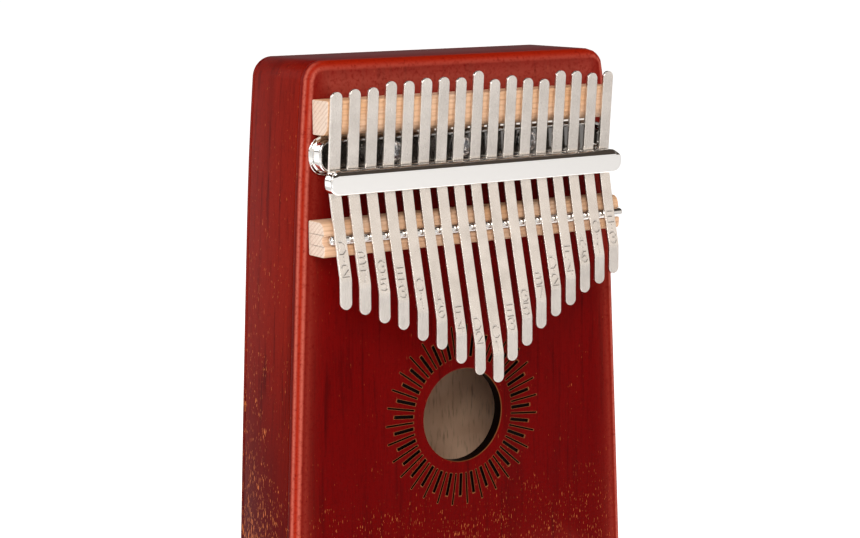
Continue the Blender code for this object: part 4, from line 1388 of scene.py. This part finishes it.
@dataclass
class Keys:
    """Seventeen tines of spring steel: bent strips with round ends and a stamped note mark."""

    finishes: Finishes
    front: float
    width: float = 4.0 * MM
    thickness: float = 0.9 * MM
    edge_round: float = 0.2 * MM
    bar_middle: float = 148.65 * MM
    rear_rise: float = 0.0887
    bar_to_rod_rise: float = 0.1989
    free_rise: float = 0.24
    tip_length: float = 9.4 * MM
    on_rod: float = 12.12 * MM
    bends: tuple[float, float, float] = (3.4 * MM, 0.9 * MM, 1.0 * MM)
    glyph: tuple[float, float] = (2.3 * MM, 3.5 * MM)
    glyph_gap: float = 0.7 * MM
    dot_pitch: float = 1.3 * MM
    mark_start: float = 10.2 * MM
    stroke: float = 0.26 * MM
    stamp_depth: float = 0.09 * MM
    stamp_lip: float = 0.018 * MM
    flexing: float = 24 * MM
    face_points: int = 35
    # Distances between rows near the tip, over the mark and behind it
    row_pitches: tuple[float, float, float] = (0.35 * MM, 0.14 * MM, 0.8 * MM)

    def centreline(self, height: Array, tip: float, rod: float) -> tuple[Array, Array]:
        """Side view of a tine's middle: how far out it is at each height, and its slope.

        It is a straight line from the tail, plus one soft ramp at each bend. A soft ramp is 0 before
        the bend, a parabola through it, and a straight line after it.

        Args:
            height: heights to work it out for.
            tip: height of the tip.
            rod: height of the rod.

        Returns:
            Distance out from the soundboard, and its change with height.
        """
        under_bar = self.on_rod - self.bar_to_rod_rise * (self.bar_middle - rod)
        out = under_bar + self.rear_rise * (height - self.bar_middle)
        slope = np.full(height.shape, self.rear_rise)
        slopes = (self.rear_rise, -self.bar_to_rod_rise, -self.free_rise, 0.0)
        places = (self.bar_middle, rod, tip + self.tip_length)
        for place, before, after, half in zip(places, slopes, slopes[1:], self.bends):
            past = place - height
            within = np.clip(past + half, 0, 2 * half)
            ramp = within ** 2 / (4 * half) + np.maximum(past - half, 0)
            out += (before - after) * ramp
            slope -= (before - after) * np.clip((past + half) / (2 * half), 0, 1)
        return out, slope

    def mark_strokes(self, rank: int) -> Array:
        """Line segments of a tine's mark: its letter, dots for its octave, and its degree.

        Args:
            rank: place of the note in the scale, from 0.

        Returns:
            Segments, each two points of (across, up from the tip).
        """
        octave, degree = divmod(rank, len(SCALE_LETTERS))
        wide, tall = self.glyph
        segments = []

        def stamp(sign: str, base: float, height: float) -> None:
            """Add one sign's strokes.

            Args:
                sign: a letter, a digit or a dot.
                base: where its foot is, up from the tip.
                height: how tall it is.
            """
            for line in STROKES[sign]:
                dots = np.array(line) * (wide, height) + (-wide / 2, base)
                segments.extend(zip(dots[:-1], dots[1:]))

        base = self.mark_start
        stamp(str(degree + 1), base, tall)
        base += tall + self.glyph_gap
        for _ in range(octave):
            stamp(".", base - 0.2 * MM, self.dot_pitch)
            base += self.dot_pitch
        stamp(SCALE_LETTERS[degree], base, tall)
        return np.array(segments)

    def stamped(self, across: Array, up: Array, rank: int) -> tuple[Array, Array]:
        """Depth of the stamped mark, from each point's distance to the nearest stroke.

        Args:
            across: distance from the tine's middle.
            up: distance from its tip.
            rank: place of the note in the scale.

        Returns:
            Depth, which has a low lip round each stroke, and how dull the steel is, from 0 to 1.
        """
        segments = self.mark_strokes(rank)
        place = np.stack([across, up], axis=-1)
        nearest = np.full(across.shape, np.inf)
        for start, end in segments:
            run = end - start
            share = np.clip(((place - start) @ run) / (run @ run), 0, 1)
            nearest = np.minimum(nearest, np.linalg.norm(place - start - share[..., None] * run, axis=-1))
        groove = self.stamp_depth * smooth(1.4 - 1.4 * nearest / self.stroke)
        lip = self.stamp_lip * np.exp(-((nearest - 1.35 * self.stroke) / (0.1 * MM)) ** 2)
        return groove - lip, 0.18 * smooth(1.3 - nearest / self.stroke)

    def tine(self, note: str, rank: int) -> None:
        """One tine: a rounded rectangle carried along the centreline, narrowed to round ends.

        Args:
            note: the note's name, as the node has it.
            rank: its place in the scale.
        """
        node = f"tine_{note}"
        low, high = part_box(node)
        _, depth, rod = centre_of("bridge_rod")
        middle = centre_of(node)[0]
        tip, tail = low[2], high[2]
        half = self.width / 2
        end = half * (1 - np.cos(np.linspace(0.10, math.pi / 2, 18)))
        mark_foot = tip + self.mark_start - 0.4 * MM
        mark_end = tip + self.mark_start + 2 * self.glyph[1] + 4.2 * MM
        near, fine, coarse = self.row_pitches
        heights = np.unique(np.concatenate([
            tip + end, np.arange(tip + half, mark_foot, near), np.arange(mark_foot, mark_end, fine),
            np.arange(mark_end, tail - half, coarse), tail - end]))
        out, slope = self.centreline(heights, tip, rod)
        from_end = np.minimum(heights - tip, tail - heights)
        reach = np.sqrt(np.clip(half ** 2 - np.clip(half - from_end, 0, half) ** 2, 0, None))
        soft = np.minimum(self.edge_round, 0.8 * reach)

        # The section, from the left of the face: shares of the flat half width and of the edge's radius,
        # and its height in radii, from 0 on the face to -1 halfway round an edge and -2 underneath
        rise, run = quarter(5)
        side_soft = np.concatenate([rise[1:], 1 - run[:-1]])
        side_lift = np.concatenate([-run[1:], -rise[1:] - 1])
        face_points, edge = self.face_points, np.ones(len(side_soft))
        share_flat = np.concatenate([np.linspace(-1, 1, face_points), edge, [0.5, -0.5], -edge])
        share_soft = np.concatenate([np.zeros(face_points), side_soft, [0.0, 0.0], -side_soft])
        lift = np.concatenate([np.zeros(face_points), side_lift, [-2.0, -2.0], side_lift[::-1]])
        across = (reach - soft)[:, None] * share_flat + soft[:, None] * share_soft
        upper = self.thickness / 2 - soft[:, None]
        level = np.where(lift >= -1, upper, -upper) + soft[:, None] * (1 + lift)
        darkened = np.zeros(across.shape)
        up = np.broadcast_to((heights - tip)[:, None], (len(heights), face_points))
        groove, darkened[:, :face_points] = self.stamped(across[:, :face_points], up, rank)
        level[:, :face_points] -= groove
        length = np.sqrt(1 + slope ** 2)[:, None]
        points = np.stack([
            middle + across,
            self.front - (out[:, None] + level / length),
            heights[:, None] - level * slope[:, None] / length], axis=-1)
        surface = Surface(points, shades={"stamp": darkened})
        piece = surface.piece(f"tine_{note}_strip", self.finishes.spring_steel)
        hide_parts(node)
        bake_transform(piece)

    def build(self) -> None:
        """Make every tine, from the lowest note up."""
        notes = [joint["name"].removeprefix("flex_") for joint in frame["joints"]]
        for note in notes:
            letter, octave = note[0].upper(), int(note[1])
            self.tine(note, SCALE_LETTERS.index(letter) + len(SCALE_LETTERS) * (octave - 4))


# ---------------------------------------------------------------- studio

@dataclass
class Studio:
    """Camera, soft lights, sky and a pale floor."""

    camera_place: tuple[float, float, float] = (-0.3933, -0.5813, 0.2243)
    heading: float = 33.987
    downward: float = 8.978
    roll: float = -0.428
    lens: float = 89.834
    floor_size: float = 60.0
    sky_front: str = "f2ece6"
    sky_back: str = "8c8886"
    sky_top: str = "463e38"

    def camera(self) -> None:
        """Stand the camera where the object is seen from, and aim it by heading, dip and roll."""
        heading, dip, roll = (math.radians(angle) for angle in (self.heading, self.downward, self.roll))
        forward = Vector((
            math.sin(heading) * math.cos(dip), math.cos(heading) * math.cos(dip), -math.sin(dip)))
        level = Vector((math.cos(heading), -math.sin(heading), 0.0))
        rise = level.cross(forward)
        right = math.cos(roll) * level + math.sin(roll) * rise
        up = math.cos(roll) * rise - math.sin(roll) * level
        aim = Matrix((right, up, -forward)).transposed().to_4x4()
        data = bpy.data.cameras.new("camera")
        data.lens = self.lens
        data.sensor_width = 36.0
        data.clip_end = 60.0
        camera = bpy.data.objects.new("camera", data)
        camera.matrix_world = Matrix.Translation(self.camera_place) @ aim
        bpy.context.scene.collection.objects.link(camera)
        bpy.context.scene.camera = camera

    def softbox(self, name: str, place: tuple[float, float, float], size: tuple[float, float],
                power: float) -> None:
        """A white area light that looks at the middle of the box.

        Args:
            name: the light's name.
            place: where it stands.
            size: its width and height.
            power: in watts.
        """
        data = bpy.data.lights.new(name, "AREA")
        data.shape = "RECTANGLE"
        data.size, data.size_y = size
        data.energy = power
        lamp = bpy.data.objects.new(name, data)
        target = Vector((0.0, 0.0, 0.1))
        lamp.location = place
        lamp.rotation_euler = (target - Vector(place)).to_track_quat("-Z", "Y").to_euler()
        bpy.context.scene.collection.objects.link(lamp)

    def sky(self) -> None:
        """World light: bright in front up to a little above the horizon, dim overhead and behind."""
        world = bpy.data.worlds.new("studio_room")
        bpy.context.scene.world = world
        world.use_nodes = True
        tree = world.node_tree
        backdrop = tree.nodes["Background"]
        place = add_node(tree, "ShaderNodeTexCoord").outputs["Generated"]
        way = add_node(tree, "ShaderNodeSeparateXYZ", inputs={"Vector": place})
        share = add_node(tree, "ShaderNodeMapRange", SMOOTH_RISE, {
            "Value": way.outputs["Z"], "From Min": 0.36, "From Max": 0.62})
        front = add_node(tree, "ShaderNodeMapRange", SMOOTH_RISE, {
            "Value": way.outputs["Y"], "From Min": -0.45, "From Max": 0.15})
        around = add_node(tree, "ShaderNodeMix", MIX_COLOURS, {
            0: front.outputs[0], MIX_A: linear(self.sky_front), MIX_B: linear(self.sky_back)})
        tone = add_node(tree, "ShaderNodeMix", MIX_COLOURS, {
            0: share.outputs[0], MIX_A: around.outputs[MIX_RESULT], MIX_B: linear(self.sky_top)})
        tree.links.new(tone.outputs[MIX_RESULT], backdrop.inputs["Color"])
        backdrop.inputs["Strength"].default_value = 1.1

    def floor(self) -> None:
        """Plain square floor, wide enough to fill the view behind the object."""
        half = self.floor_size / 2
        corners = [(-half, -half, 0.0), (half, -half, 0.0), (half, half, 0.0), (-half, half, 0.0)]
        mesh = bpy.data.meshes.new("floor")
        mesh.from_pydata(corners, [], [(0, 1, 2, 3)])
        mesh.materials.append(PaintedFloor().make())
        floor = bpy.data.objects.new("floor", mesh)
        bpy.context.scene.collection.objects.link(floor)

    def build(self) -> None:
        """Set up the whole studio."""
        self.camera()
        self.sky()
        self.floor()
        self.softbox("key_front_left", (-0.70, -0.95, 0.80), (0.5, 0.6), 11)
        self.softbox("overhead", (-0.25, -0.25, 1.3), (0.8, 0.6), 4)
        self.softbox("from_behind", (-1.0, 1.1, 0.7), (1.0, 0.8), 4.5)
        bpy.context.scene.view_settings.view_transform = "Standard"


def main() -> None:
    """Build the instrument and its studio."""
    logging.basicConfig(level=logging.INFO, format="%(name)s: %(message)s")
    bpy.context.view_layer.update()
    finishes = Finishes()
    box = Box(finishes)
    for part in (box, Bridges(finishes, box.front), Clamp(finishes, box.front), Keys(finishes, box.front)):
        LOG.info("building %s", type(part).__name__)
        part.build()
    Studio().build()


if __name__ == "__main__":
    main()
